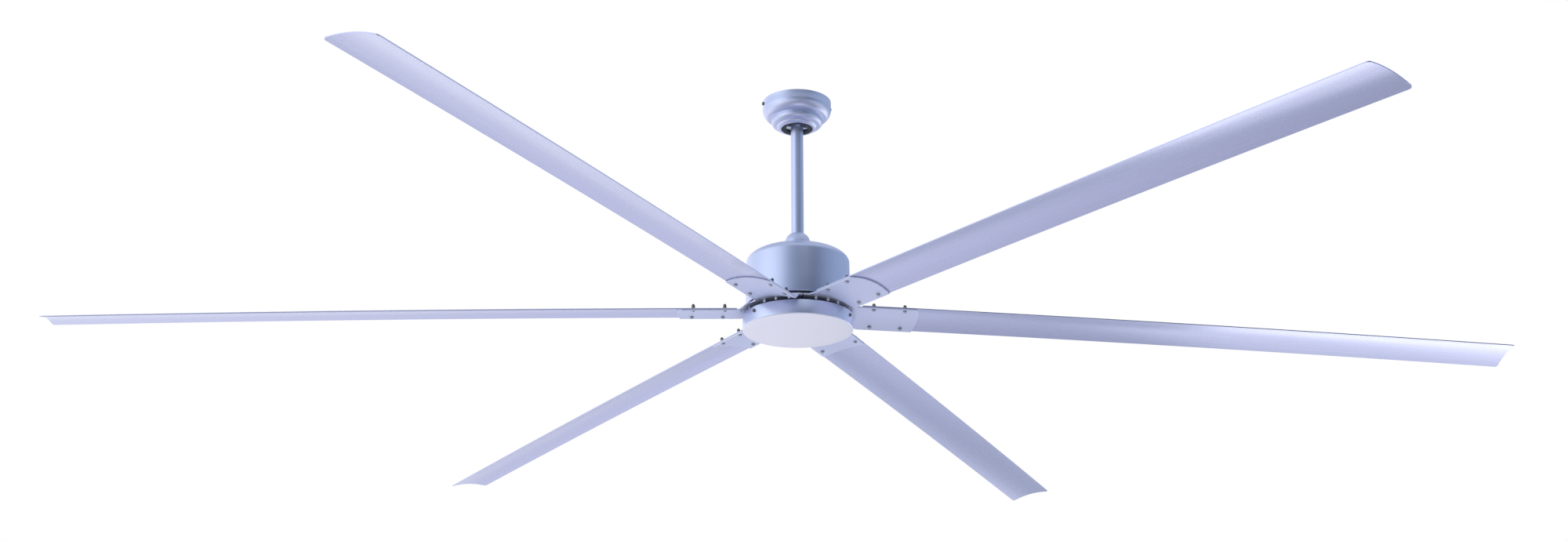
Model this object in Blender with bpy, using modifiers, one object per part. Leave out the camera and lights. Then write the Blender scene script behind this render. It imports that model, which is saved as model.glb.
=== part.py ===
"""Six-blade ceiling fan on a downrod, in metres with +Z up.

The origin is the centre of the ceiling bracket's top face, which lies against the ceiling.
Everything hangs below it. Blade 1 points along +X and the others follow anticlockwise, seen
from above. Heights of the motor, blades and cap are measured from the hub plane, the level
where the blades' chord lines start to droop.
"""

import math

import bmesh
import bpy
from mathutils import Matrix, Vector

# Levels below the ceiling
HUB_DROP = 0.4885
CANOPY_TOP_DROP = 0.0008

# Clearances
FIT_GAP = 0.0003
HOLE_CLEARANCE = 0.0004
CUT_OVERRUN = 0.004
WELD_DISTANCE = 0.00001

# Roundness of the turned pieces
OUTER_STEPS = 28
MIDDLE_STEPS = 24
SMALL_STEPS = 16
SCREW_STEPS = 8
HOLE_SIDES = 6
PIN_SIDES = 12

# Canopy
CANOPY_RADIUS = 0.0742
CANOPY_WALL = 0.0012
CANOPY_BAND = 0.0147
CREASE_FALL = 0.0241
LOWER_BULGE_FALL = 0.0059
MOUTH_FALL = 0.0160
CANOPY_DEPTH = CANOPY_BAND + CREASE_FALL + LOWER_BULGE_FALL + MOUTH_FALL
CANOPY_MOUTH_RADIUS = 0.0340
BEAD_HEIGHT = 0.0010
BULGE_INSET = 0.0202
CREASE_UNDERCUT = 0.0011
BULGE_DEPTH = CREASE_FALL - CREASE_UNDERCUT
CREASE_INSET = 0.0197
CREASE_RADIUS = CANOPY_RADIUS - CREASE_INSET
LOWER_BULGE_SWELL = 0.0011
LOWER_BULGE_RADIUS = CREASE_RADIUS + LOWER_BULGE_SWELL
LOWER_BULGE_INSET = 0.0116
LOWER_BULGE_DEPTH = 0.0095
MOUTH_LIP = 0.0030
MOUTH_LIP_RISE = 0.0018

# Ring in the canopy's mouth
MOUTH_RING_BORE = 0.0235
MOUTH_RING_HEIGHT = 0.0050
MOUTH_RING_SHOULDER = 0.0040
MOUTH_RING_FLANGE = 0.0020
MOUTH_RING_ROOM = 0.0012
MOUTH_RING_SIDE_ROOM = 0.0009

# Small screws that hold the canopy and the cap
CANOPY_SCREW_DROP = CANOPY_TOP_DROP + CANOPY_BAND / 2
SCREW_HEAD_RADIUS = 0.0040
SCREW_HEAD_HEIGHT = 0.0026
SCREW_CROWN_RADIUS = 0.0024
SCREW_CROWN_DROP = 0.0004
SCREW_HEAD_EDGE = 0.0012
SCREW_SHANK_RADIUS = 0.0017
CANOPY_SCREW_LENGTH = 0.0072

# Hanger ball, its pin and the downrod
BALL_RADIUS = 0.0235
BALL_DROP = 0.0280
BALL_TOP_RISE = 0.0060
SEAT_INSET = 0.0050
SEAT_RADIUS = BALL_RADIUS - SEAT_INSET
BALL_SLOT_DEPTH = 0.0085
BALL_FOOT_WIDTH = 0.0009
TONGUE_CLEARANCE = 0.0008
ROD_RADIUS = 0.01335
ROD_WALL = 0.0026
ROD_STUB = 0.0080
ROD_TOP_RISE = BALL_TOP_RISE + ROD_STUB
BALL_PIN_RADIUS = 0.0030
BALL_PIN_INSET = 0.0030
BALL_PIN_LENGTH = 2 * (BALL_RADIUS - BALL_PIN_INSET)

# Ceiling bracket
BRACKET_TURN = math.radians(7.7)
STRAP_THICKNESS = 0.0025
STRAP_WIDTH = 0.018
STRAP_ROOM = 0.0018
STRAP_REACH = CANOPY_RADIUS - CANOPY_WALL - STRAP_ROOM
TAB_BELOW_SCREW = 0.0057
TAB_HEIGHT = CANOPY_SCREW_DROP + TAB_BELOW_SCREW
PLATE_LENGTH = 0.110
PLATE_WIDTH = 0.044
HANGER_SIDE_ROOM = 0.0065
HANGER_HALF_SPAN = BALL_RADIUS + HANGER_SIDE_ROOM
SEAT_RIM = 0.0065
HANGER_WIDTH = 2 * (SEAT_RADIUS + SEAT_RIM)
BEND_RADIUS = 0.004
SLOT_END_SPACE = 0.0110
SCREW_SLOT_REACH = PLATE_LENGTH / 2 - SLOT_END_SPACE
SCREW_SLOT_LENGTH = 0.0150
SCREW_SLOT_WIDTH = 0.0055
WIRE_HOLE_REACH = 0.0165
WIRE_HOLE_RADIUS = 0.0060
TONGUE_WIDTH = 0.0030
TONGUE_HEIGHT = 0.0100
TONGUE_THICKNESS = 0.0022

# Heights above the hub plane, from the hub plate up to the coupling cover
HUB_PLATE_BOTTOM = 0.0103
HUB_PLATE_THICKNESS = 0.0062
HUB_PLATE_TOP = HUB_PLATE_BOTTOM + HUB_PLATE_THICKNESS
HOUSING_RUNNING_GAP = 0.0015
HOUSING_BOTTOM = HUB_PLATE_TOP + HOUSING_RUNNING_GAP
HOUSING_DEPTH = 0.1270
HOUSING_TOP = HOUSING_BOTTOM + HOUSING_DEPTH
ROD_SEAT_SINK = 0.0055
ROD_SEAT = HOUSING_TOP - ROD_SEAT_SINK
CLEVIS_RISE = 0.0185
CLEVIS_HEIGHT = ROD_SEAT + CLEVIS_RISE
COLLAR_HEAD = 0.0120
COLLAR_TOP = CLEVIS_HEIGHT + COLLAR_HEAD
COVER_HEADROOM = 0.0120
COVER_TOP = COLLAR_TOP + COVER_HEADROOM
YOKE_BOSS_DEPTH = 0.0175
YOKE_BOSS_BOTTOM = HOUSING_TOP - YOKE_BOSS_DEPTH

# Coupling cover, yoke and its pin
COLLAR_WALL = 0.00415
COLLAR_RADIUS = ROD_RADIUS + FIT_GAP + COLLAR_WALL
COVER_WALL = 0.0012
COVER_ROOM = 0.0090
COVER_RADIUS = COLLAR_RADIUS + COVER_ROOM
COVER_NECK_ROOM = 0.00145
COVER_NECK_RADIUS = ROD_RADIUS + COVER_NECK_ROOM
COVER_SHARES = ((0.0, 1.0), (0.31, 0.93), (0.62, 0.81), (0.85, 0.59), (0.975, 0.34), (1.0, 0.0))
HOUSING_SCREW_ROOM = 0.0097
HOUSING_SCREW_CIRCLE = COVER_RADIUS + HOUSING_SCREW_ROOM
HOUSING_SCREW_COUNT = 4
YOKE_FLANGE_RIM = 0.0085
YOKE_FLANGE_RADIUS = HOUSING_SCREW_CIRCLE + YOKE_FLANGE_RIM
YOKE_FLANGE_THICKNESS = 0.0044
YOKE_CROWN_ROOM = 0.0008
YOKE_FLANGE_TAPER = 0.0030
CLEVIS_RADIUS = 0.0030
CLEVIS_TAIL = 0.0043
CLEVIS_LENGTH = 2 * (COLLAR_RADIUS + FIT_GAP) + CLEVIS_TAIL
CLEVIS_HEAD_RADIUS = 0.0044
CLEVIS_HEAD_HEIGHT = 0.0014
SPLIT_PIN_RADIUS = 0.0009
SPLIT_PIN_LENGTH = 0.0130

# Shaft and bearings
SHAFT_RADIUS = 0.0100
SHAFT_WALL = 0.0050
SHAFT_BORE = SHAFT_RADIUS - SHAFT_WALL
SHAFT_TOP_ROOM = 0.0015
SHAFT_TOP = ROD_SEAT - SHAFT_TOP_ROOM
YOKE_BOSS_WALL = 0.0052
YOKE_BOSS_RADIUS = SHAFT_RADIUS + FIT_GAP + YOKE_BOSS_WALL
YOKE_BOSS_FLARE = 0.0047
YOKE_BOSS_SHOULDER_RADIUS = YOKE_BOSS_RADIUS + YOKE_BOSS_FLARE
BEARING_SECTION = 0.0110
BEARING_RADIUS = SHAFT_RADIUS + BEARING_SECTION
BEARING_WIDTH = 0.0120
BEARING_RECESS = 0.0012
BEARING_RACE = 0.0034
BEARING_LIP_WIDTH = 0.0045
BEARING_LIP = BEARING_RADIUS - BEARING_LIP_WIDTH
BEARING_WALL = 0.0052
BEARING_ROOM = 0.0012
UPPER_BEARING_BOTTOM = YOKE_BOSS_BOTTOM - BEARING_ROOM - BEARING_WIDTH
LOWER_BEARING_RISE = 0.0038
LOWER_BEARING_BOTTOM = HUB_PLATE_TOP + LOWER_BEARING_RISE
SHAFT_TAIL = 0.0058
SHAFT_BOTTOM = LOWER_BEARING_BOTTOM - SHAFT_TAIL
SHAFT_END_ROOM = 0.0025

# Motor housing, a fixed spun shell open below
HOUSING_RADIUS = 0.1095
HOUSING_WALL = 0.0015
CROWN_FLAT_RADIUS = 0.0300
SHOULDER_DEPTH = 0.0300
HOUSING_BORE_ROOM = 0.0006
HOUSING_BORE = COLLAR_RADIUS + HOUSING_BORE_ROOM

# Magnet case, which turns inside the housing
CASE_ROOM = 0.0100
CASE_RADIUS = HOUSING_RADIUS - HOUSING_WALL - CASE_ROOM
CASE_WALL = 0.0040
CASE_LIP_RISE = 0.0017
CASE_TOP = UPPER_BEARING_BOTTOM + CASE_LIP_RISE
CASE_CORNER = 0.0050
CASE_FOOT_ROOM = 0.0040
CASE_FOOT_RADIUS = HOUSING_RADIUS - HOUSING_WALL - CASE_FOOT_ROOM
CASE_FOOT_THICKNESS = 0.0030
MAGNET_THICKNESS = 0.0055
MAGNET_OVERLAP = 0.0025
AIR_GAP = 0.0012

# Stator core and its winding
STATOR_RADIUS = CASE_RADIUS - CASE_WALL - MAGNET_THICKNESS - AIR_GAP
TOOTH_LENGTH = 0.0357
STATOR_YOKE_RADIUS = STATOR_RADIUS - TOOTH_LENGTH
STATOR_RISE = 0.0305
STATOR_BOTTOM = HUB_PLATE_TOP + STATOR_RISE
STATOR_HEADROOM = 0.0330
STATOR_STACK = CASE_TOP - STATOR_HEADROOM - STATOR_BOTTOM
STATOR_TEETH = 12
STATOR_BORE_CLEARANCE = 0.0006
TOOTH_NECK = 0.0150
TOOTH_TIP_DEPTH = 0.0060
SLOT_MOUTH = 0.0060
WINDING_YOKE_ROOM = 0.0080
WINDING_INNER_RADIUS = STATOR_YOKE_RADIUS + WINDING_YOKE_ROOM
WINDING_TIP_ROOM = 0.0017
WINDING_OUTER_RADIUS = STATOR_RADIUS - TOOTH_TIP_DEPTH - WINDING_TIP_ROOM
WINDING_OVERHANG = 0.0105
WINDING_BAR_RADIUS = 0.0048
WINDING_EDGE = 0.0040

# Blades: plain sheet with a shallow crown, pitched, drooping and sagging a little
BLADE_COUNT = 6
BLADE_TIP = 1.5250
BLADE_CHORD = 0.1004
BLADE_THICKNESS = 0.0020
BLADE_CROWN = 0.0065
BLADE_OFFSET = 0.0038
BLADE_CORNER = 0.0070
PITCH_AT_ROOT = math.radians(8.7)
PITCH_AT_TIP = math.radians(9.3)
DROOP = math.radians(1.656)
SAG_AT_TIP = 0.0123
LEVEL_REACH = 0.2000
CHORD_SEGMENTS = 6
SPAN_SEGMENTS = 5

# Blade irons: a flat sector under the hub plate that bends down into a paddle under the blade
IRON_THICKNESS = 0.0030
IRON_BORE_RADIUS = 0.0600
IRON_SEAM = 0.0015
CAP_OVERHANG = 0.0060
CAP_RADIUS = HOUSING_RADIUS + CAP_OVERHANG
FLANGE_OVERHANG = 0.0010
FLANGE_RADIUS = CAP_RADIUS + FLANGE_OVERHANG
BEND_LOW_RUN = 0.0130
BEND_HIGH_RUN = 0.0060
BLADE_ROOT_ROOM = 0.0015
BLADE_ROOT = FLANGE_RADIUS + BEND_LOW_RUN + BLADE_ROOT_ROOM
PADDLE_REACH = 0.1360
IRON_END_REACH = FLANGE_RADIUS + PADDLE_REACH
IRON_END_ARC_DEPTH = 0.0075
PADDLE_SEGMENTS = 2
BEND_SEGMENTS = 2

# Bolts through iron and blade
BOLT_END_SPACE = 0.0320
BOLT_OUTER_REACH = IRON_END_REACH - BOLT_END_SPACE
BOLT_ROOT_SPACE = 0.0245
BOLT_INNER_REACH = BLADE_ROOT + BOLT_ROOT_SPACE
BOLT_EDGE_SPACE = 0.0102
BOLT_ACROSS = BLADE_CHORD / 2 - BOLT_EDGE_SPACE
BOLT_RADIUS = 0.0025
BOLT_HOLE_ROOM = 0.0006
BOLT_HOLE_RADIUS = BOLT_RADIUS + BOLT_HOLE_ROOM
BOLT_SEAT_GAP = 0.0004
BOLT_HEX_RADIUS = 0.0046
BOLT_HEAD_HEIGHT = 0.0032
NUT_HEIGHT = 0.0042
NUT_DOME_HEIGHT = 0.0038
NUT_DOME_SHOULDER = 0.0030
BOLT_SIDES = 6

# Rotor hub, the plate that the blade irons are screwed under
HUB_PLATE_INSET = 0.0010
HUB_PLATE_RADIUS = HOUSING_RADIUS - HUB_PLATE_INSET
HUB_PILOT_DEPTH = 0.0033
HUB_BOSS_WALL = 0.0038
HUB_BOSS_RADIUS = BEARING_RADIUS + BEARING_WALL + HUB_BOSS_WALL
IRON_SCREW_INSET = 0.0100
IRON_SCREW_CIRCLE = FLANGE_RADIUS - IRON_SCREW_INSET
IRON_SCREW_COUNT = 3
IRON_SCREW_STEP = math.radians(15.0)
IRON_SCREW_RADIUS = 0.0030
IRON_SCREW_HEIGHT = 0.0062

# Bottom cap and the dish that carries it
CAP_WALL = 0.0015
CAP_OPEN_GAP = 0.0100
CAP_TOP = HUB_PLATE_BOTTOM - FIT_GAP - IRON_THICKNESS - CAP_OPEN_GAP
CAP_DEPTH = 0.0305
CAP_BOTTOM = CAP_TOP - CAP_DEPTH
CAP_EDGE_RADIUS = 0.0022
HUB_BOSS_SINK = 0.0012
HUB_BOSS_BOTTOM = CAP_TOP - HUB_BOSS_SINK
CARRIER_WALL = 0.0015
CARRIER_RIM_HEIGHT = 0.0135
CARRIER_BORE = 0.0120
CAP_SCREW_COUNT = 3
CAP_SCREW_START = math.radians(93.7)
CAP_SCREW_DROP = 0.0095
CAP_SCREW_HEIGHT = CAP_TOP - CAP_SCREW_DROP
CAP_SCREW_LENGTH = 0.0050

# Finishes: colour, metallic share, roughness
FINISHES = {
    "silver paint": ((0.62, 0.66, 0.80), 0.35, 0.38),
    "blade paint": ((0.66, 0.68, 0.82), 0.30, 0.42),
    "black rubber": ((0.02, 0.02, 0.03), 0.0, 0.70),
    "zinc steel": ((0.60, 0.61, 0.62), 1.0, 0.35),
    "nickel screw": ((0.72, 0.71, 0.70), 1.0, 0.22),
    "lamination steel": ((0.24, 0.25, 0.27), 0.9, 0.50),
    "copper wire": ((0.72, 0.33, 0.16), 1.0, 0.35),
    "cast aluminium": ((0.55, 0.56, 0.58), 1.0, 0.45),
}


def clear_scene():
    """Removes the objects that the file opened with."""
    for item in list(bpy.data.objects):
        bpy.data.objects.remove(item, do_unlink=True)


def new_collection(name):
    """Adds a collection to the scene."""
    collection = bpy.data.collections.new(name)
    bpy.context.scene.collection.children.link(collection)
    return collection


def material(finish):
    """A plain material for one of the finishes."""
    found = bpy.data.materials.get(finish)
    if found:
        return found
    colour, metallic, roughness = FINISHES[finish]
    made = bpy.data.materials.new(finish)
    made.use_nodes = True
    shader = made.node_tree.nodes["Principled BSDF"]
    shader.inputs["Base Color"].default_value = (*colour, 1.0)
    shader.inputs["Metallic"].default_value = metallic
    shader.inputs["Roughness"].default_value = roughness
    made.diffuse_color = (*colour, 1.0)
    return made


clear_scene()
FAN = new_collection("ceiling_fan")
CUTTERS = new_collection("cutters")


def frame(name, parent, location, turn):
    """An empty that carries the pieces of one assembly."""
    empty = bpy.data.objects.new(name, None)
    FAN.objects.link(empty)
    empty.parent = parent
    empty.location = location
    empty.rotation_euler = (0, 0, turn)
    return empty


def place(name, mesh, parent, finish, matrix=None):
    """Puts a mesh in the fan as a named piece."""
    piece = bpy.data.objects.new(name, mesh)
    FAN.objects.link(piece)
    piece.parent = parent
    if matrix is not None:
        piece.matrix_local = matrix
    if not mesh.materials:
        mesh.materials.append(material(finish))
    return piece


def mesh_from(bm, name):
    """Closes a bmesh into mesh data."""
    mesh = bpy.data.meshes.new(name)
    bm.to_mesh(mesh)
    bm.free()
    return mesh


def profile_mesh(name, profile, closed):
    """A chain of edges in the XZ plane, to be turned about Z."""
    bm = bmesh.new()
    points = [bm.verts.new((radius, 0, height)) for radius, height in profile]
    for start, end in zip(points, points[1:]):
        bm.edges.new((start, end))
    if closed:
        bm.edges.new((points[-1], points[0]))
    return mesh_from(bm, name)


def add_turning(piece, steps):
    """A full turn about Z, merged where the profile meets the axis."""
    turning = piece.modifiers.new("turning", "SCREW")
    turning.axis = "Z"
    turning.steps = steps
    turning.render_steps = steps
    turning.use_merge_vertices = True
    turning.merge_threshold = WELD_DISTANCE
    turning.use_smooth_shade = True


def turned(name, profile, parent, finish, steps=OUTER_STEPS, closed=False, matrix=None):
    """A turned solid; a closed profile stays clear of the axis."""
    piece = place(name, profile_mesh(name, profile, closed), parent, finish, matrix)
    add_turning(piece, steps)
    return piece


def spun_shell(name, profile, wall, parent, finish, steps=OUTER_STEPS):
    """Spun sheet: the profile is the outer side, the wall grows inwards."""
    piece = turned(name, profile, parent, finish, steps)
    sheet = piece.modifiers.new("sheet", "SOLIDIFY")
    sheet.thickness = wall
    sheet.offset = -1
    sheet.use_even_offset = True
    return piece


def finished_mesh(piece, name):
    """The piece's mesh with its modifiers applied, in its own space; the piece is removed."""
    bpy.context.view_layer.update()
    graph = bpy.context.evaluated_depsgraph_get()
    mesh = bpy.data.meshes.new_from_object(piece.evaluated_get(graph))
    mesh.name = name
    bpy.data.objects.remove(piece, do_unlink=True)
    return mesh


def as_cutter(piece):
    """Moves a solid to the cutters, which aren't part of the fan."""
    for collection in list(piece.users_collection):
        collection.objects.unlink(piece)
    CUTTERS.objects.link(piece)
    piece.hide_render = True
    piece.display_type = "WIRE"
    return piece


def combine(piece, tool, operation):
    """Cuts a piece with a tool, or joins the tool to it."""
    as_cutter(tool)
    step = piece.modifiers.new(tool.name, "BOOLEAN")
    step.operation = operation
    step.solver = "EXACT"
    step.object = tool


def cylinder(name, radius, low, high, parent, matrix=None, sides=HOLE_SIDES, finish="zinc steel"):
    """A cylinder along Z between two heights."""
    bm = bmesh.new()
    bmesh.ops.create_cone(bm, cap_ends=True, segments=sides, radius1=radius, radius2=radius,
                          depth=high - low,
                          matrix=Matrix.Translation((0, 0, (low + high) / 2)))
    mesh = mesh_from(bm, name)
    mesh.shade_smooth()
    mesh.set_sharp_from_angle(angle=math.radians(50))
    return place(name, mesh, parent, finish, matrix)


def box(name, low, high, parent, finish="zinc steel"):
    """A box between two corners."""
    size = Vector(high) - Vector(low)
    centre = (Vector(high) + Vector(low)) / 2
    bm = bmesh.new()
    bmesh.ops.create_cube(bm, size=1, matrix=Matrix.Translation(centre) @ Matrix.Diagonal((*size, 1)))
    return place(name, mesh_from(bm, name), parent, finish)


def arc(centre, radii, start, end, count):
    """Points of an elliptical arc in a profile, angles in degrees from the outward direction."""
    points = []
    for index in range(count + 1):
        angle = math.radians(start + (end - start) * index / count)
        points.append((centre[0] + radii[0] * math.cos(angle), centre[1] + radii[1] * math.sin(angle)))
    return points


def bent_strip(name, path, width, parent, finish):
    """A strip of sheet bent along a path in the XZ plane, with rounded corners."""
    bm = bmesh.new()
    near = [bm.verts.new((x, -width / 2, z)) for x, z in path]
    far = [bm.verts.new((x, width / 2, z)) for x, z in path]
    for index in range(len(path) - 1):
        bm.faces.new((near[index], near[index + 1], far[index + 1], far[index]))
    bends = [edge for edge in bm.edges if len(edge.link_faces) == 2]
    bmesh.ops.bevel(bm, geom=bends, offset=BEND_RADIUS, offset_type="OFFSET", segments=3,
                    profile=0.5, affect="EDGES", clamp_overlap=True)
    piece = place(name, mesh_from(bm, name), parent, finish)
    sheet = piece.modifiers.new("sheet", "SOLIDIFY")
    sheet.thickness = STRAP_THICKNESS
    sheet.offset = 0
    sheet.use_even_offset = True
    return piece


def radial_matrix(angle, height):
    """Turns a piece drawn along +Z so that it points outwards from the axis."""
    return (Matrix.Rotation(angle, 4, "Z") @ Matrix.Translation((0, 0, height))
            @ Matrix.Rotation(math.pi / 2, 4, "Y"))


def screw_mesh(name, seat, length):
    """A round-headed screw drawn along +Z, its head seated at a distance from the origin."""
    top = seat + SCREW_HEAD_HEIGHT
    profile = [(0, top), (SCREW_CROWN_RADIUS, top - SCREW_CROWN_DROP),
               (SCREW_HEAD_RADIUS, seat + SCREW_HEAD_EDGE), (SCREW_HEAD_RADIUS, seat),
               (SCREW_SHANK_RADIUS, seat), (SCREW_SHANK_RADIUS, seat - length), (0, seat - length)]
    piece = turned(name, profile, None, "nickel screw", steps=SCREW_STEPS)
    return finished_mesh(piece, name)


def make_bracket(parent):
    """Ceiling plate, its end tabs, and the hanger that the ball sits in, pressed from one steel."""
    middle = -STRAP_THICKNESS / 2
    seat_level = seat_top() - STRAP_THICKNESS / 2
    bracket = box("hanger_bracket", (-PLATE_LENGTH / 2, -PLATE_WIDTH / 2, -STRAP_THICKNESS),
                  (PLATE_LENGTH / 2, PLATE_WIDTH / 2, 0), parent)
    strap_end = STRAP_REACH - STRAP_THICKNESS / 2
    combine(bracket, bent_strip("strap", [(-strap_end, -TAB_HEIGHT), (-strap_end, middle),
                                          (strap_end, middle), (strap_end, -TAB_HEIGHT)],
                                STRAP_WIDTH, parent, "zinc steel"), "UNION")
    arm = HANGER_HALF_SPAN + STRAP_THICKNESS / 2
    combine(bracket, bent_strip("hanger", [(-arm, middle), (-arm, seat_level), (arm, seat_level),
                                           (arm, middle)], HANGER_WIDTH, parent, "zinc steel"), "UNION")
    tongue_side = SEAT_RADIUS + FIT_GAP
    combine(bracket, box("tongue", (-TONGUE_WIDTH / 2, tongue_side, seat_level),
                         (TONGUE_WIDTH / 2, tongue_side + TONGUE_THICKNESS, seat_top() + TONGUE_HEIGHT),
                         parent), "UNION")
    low = seat_top() - STRAP_THICKNESS - CUT_OVERRUN
    high = seat_top() + CUT_OVERRUN
    combine(bracket, cylinder("seat_cut", SEAT_RADIUS, low, high, parent, sides=SMALL_STEPS), "DIFFERENCE")
    throat = ROD_RADIUS + HOLE_CLEARANCE
    combine(bracket, box("throat_cut", (-throat, -HANGER_WIDTH / 2 - CUT_OVERRUN, low), (throat, 0, high),
                         parent), "DIFFERENCE")
    for side in (-1, 1):
        centre = side * SCREW_SLOT_REACH
        reach = SCREW_SLOT_LENGTH / 2
        combine(bracket, box(f"slot_cut_{side}",
                             (centre - reach, -SCREW_SLOT_WIDTH / 2, -STRAP_THICKNESS - CUT_OVERRUN),
                             (centre + reach, SCREW_SLOT_WIDTH / 2, CUT_OVERRUN), parent), "DIFFERENCE")
        combine(bracket, cylinder(f"wire_cut_{side}", WIRE_HOLE_RADIUS, -STRAP_THICKNESS - CUT_OVERRUN,
                                  CUT_OVERRUN, parent,
                                  Matrix.Translation((side * WIRE_HOLE_REACH, 0, 0)), sides=PIN_SIDES),
                "DIFFERENCE")
        combine(bracket, cylinder(f"tab_cut_{side}", SCREW_SHANK_RADIUS + HOLE_CLEARANCE,
                                  STRAP_REACH - STRAP_THICKNESS - CUT_OVERRUN, STRAP_REACH + CUT_OVERRUN,
                                  parent, canopy_screw_matrix(side)), "DIFFERENCE")
    return bracket


def seat_top():
    """Height of the hanger's seat, a fit gap below the ball."""
    depth = math.sqrt(BALL_RADIUS ** 2 - SEAT_RADIUS ** 2)
    return -BALL_DROP - depth - FIT_GAP


def canopy_screw_matrix(side):
    """Frame of a canopy screw, along the bracket's strap."""
    return radial_matrix(0 if side > 0 else math.pi, -CANOPY_SCREW_DROP)


def canopy_profile():
    """Outer side of the canopy: band, bead, upper bulge, crease, lower bulge and mouth lip."""
    top = -CANOPY_TOP_DROP
    band = top - CANOPY_BAND
    crease = band - CREASE_FALL
    lower = crease - LOWER_BULGE_FALL
    mouth = lower - MOUTH_FALL
    upper_centre = (CANOPY_RADIUS - BULGE_INSET, band - BEAD_HEIGHT)
    lower_centre = (LOWER_BULGE_RADIUS - LOWER_BULGE_INSET, lower)
    profile = [(CANOPY_RADIUS, top), (CANOPY_RADIUS - BEAD_HEIGHT / 2, band)]
    profile += arc(upper_centre, (BULGE_INSET, BULGE_DEPTH), 0, -60, 3)
    profile += [(CREASE_RADIUS, crease)]
    profile += arc(lower_centre, (LOWER_BULGE_INSET, LOWER_BULGE_DEPTH), 10, -72, 2)
    profile += [(CANOPY_MOUTH_RADIUS + MOUTH_LIP, mouth + MOUTH_LIP_RISE), (CANOPY_MOUTH_RADIUS, mouth)]
    return profile


def make_canopy(parent):
    """Spun steel canopy, with a hole for each screw and the ring that lines its mouth."""
    canopy = spun_shell("canopy", canopy_profile(), CANOPY_WALL, parent, "silver paint")
    for side in (-1, 1):
        combine(canopy, cylinder(f"canopy_cut_{side}", SCREW_SHANK_RADIUS + HOLE_CLEARANCE,
                                 STRAP_REACH, CANOPY_RADIUS + CUT_OVERRUN, parent,
                                 canopy_screw_matrix(side)), "DIFFERENCE")
    screw = screw_mesh("canopy_screw", CANOPY_RADIUS + FIT_GAP, CANOPY_SCREW_LENGTH)
    for index, side in enumerate((-1, 1)):
        place(f"canopy_screw_{index + 1}", screw, parent, "nickel screw", canopy_screw_matrix(side))
    mouth = -CANOPY_TOP_DROP - CANOPY_DEPTH
    outer = CANOPY_MOUTH_RADIUS - MOUTH_RING_SIDE_ROOM
    seat = mouth + MOUTH_LIP_RISE + CANOPY_WALL + MOUTH_RING_ROOM
    rim = outer + MOUTH_RING_SHOULDER
    profile = [(MOUTH_RING_BORE, mouth + MOUTH_RING_HEIGHT + MOUTH_RING_FLANGE),
               (rim, mouth + MOUTH_RING_HEIGHT + MOUTH_RING_FLANGE), (rim, seat), (outer, seat - FIT_GAP),
               (outer, mouth + CANOPY_WALL / 2), (MOUTH_RING_BORE + MOUTH_RING_FLANGE, mouth),
               (MOUTH_RING_BORE, mouth + MOUTH_RING_FLANGE)]
    turned("mouth_ring", profile, parent, "black rubber", steps=MIDDLE_STEPS, closed=True)


def make_ball(parent):
    """Hanger ball, bored for the rod, grooved for the cross pin and slotted for the tongue."""
    bore = ROD_RADIUS + FIT_GAP
    top_angle = math.degrees(math.asin(BALL_TOP_RISE / BALL_RADIUS))
    low_angle = -math.degrees(math.acos((bore + BALL_FOOT_WIDTH) / BALL_RADIUS))
    profile = [(bore, BALL_TOP_RISE)] + arc((0, 0), (BALL_RADIUS, BALL_RADIUS), top_angle, low_angle, 7)
    profile += [(bore, profile[-1][1])]
    ball = turned("hanger_ball", profile, parent, "black rubber", steps=SMALL_STEPS, closed=True)
    pin_level = BALL_TOP_RISE - BALL_PIN_RADIUS / 2
    cross = Matrix.Translation((0, 0, pin_level)) @ Matrix.Rotation(math.pi / 2, 4, "Y")
    reach = BALL_RADIUS + CUT_OVERRUN
    combine(ball, cylinder("groove_cut", BALL_PIN_RADIUS + FIT_GAP, -reach, reach, parent, cross, PIN_SIDES),
            "DIFFERENCE")
    slot = TONGUE_WIDTH / 2 + TONGUE_CLEARANCE
    combine(ball, box("tongue_cut", (-slot, BALL_RADIUS - BALL_SLOT_DEPTH, -reach), (slot, reach, reach),
                      parent), "DIFFERENCE")
    cylinder("ball_pin", BALL_PIN_RADIUS, -BALL_PIN_LENGTH / 2, BALL_PIN_LENGTH / 2, parent, cross,
             PIN_SIDES)
    return pin_level


def make_downrod(parent, pin_level):
    """The tube between the ball and the yoke, drilled for both pins."""
    low = hub_level(ROD_SEAT) + FIT_GAP
    bore = ROD_RADIUS - ROD_WALL
    profile = [(bore, ROD_TOP_RISE), (ROD_RADIUS, ROD_TOP_RISE), (ROD_RADIUS, low), (bore, low)]
    rod = turned("downrod", profile, parent, "silver paint", steps=SMALL_STEPS, closed=True)
    reach = ROD_RADIUS + CUT_OVERRUN
    for name, level, radius in (("ball_pin_cut", pin_level, BALL_PIN_RADIUS),
                                ("clevis_cut", hub_level(CLEVIS_HEIGHT), CLEVIS_RADIUS)):
        cross = Matrix.Translation((0, 0, level)) @ Matrix.Rotation(math.pi / 2, 4, "Y")
        combine(rod, cylinder(name, radius + HOLE_CLEARANCE, -reach, reach, parent, cross, PIN_SIDES),
                "DIFFERENCE")


def hub_level(height):
    """A height above the hub plane, seen from the ball's centre."""
    return height - HUB_DROP + BALL_DROP


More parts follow.
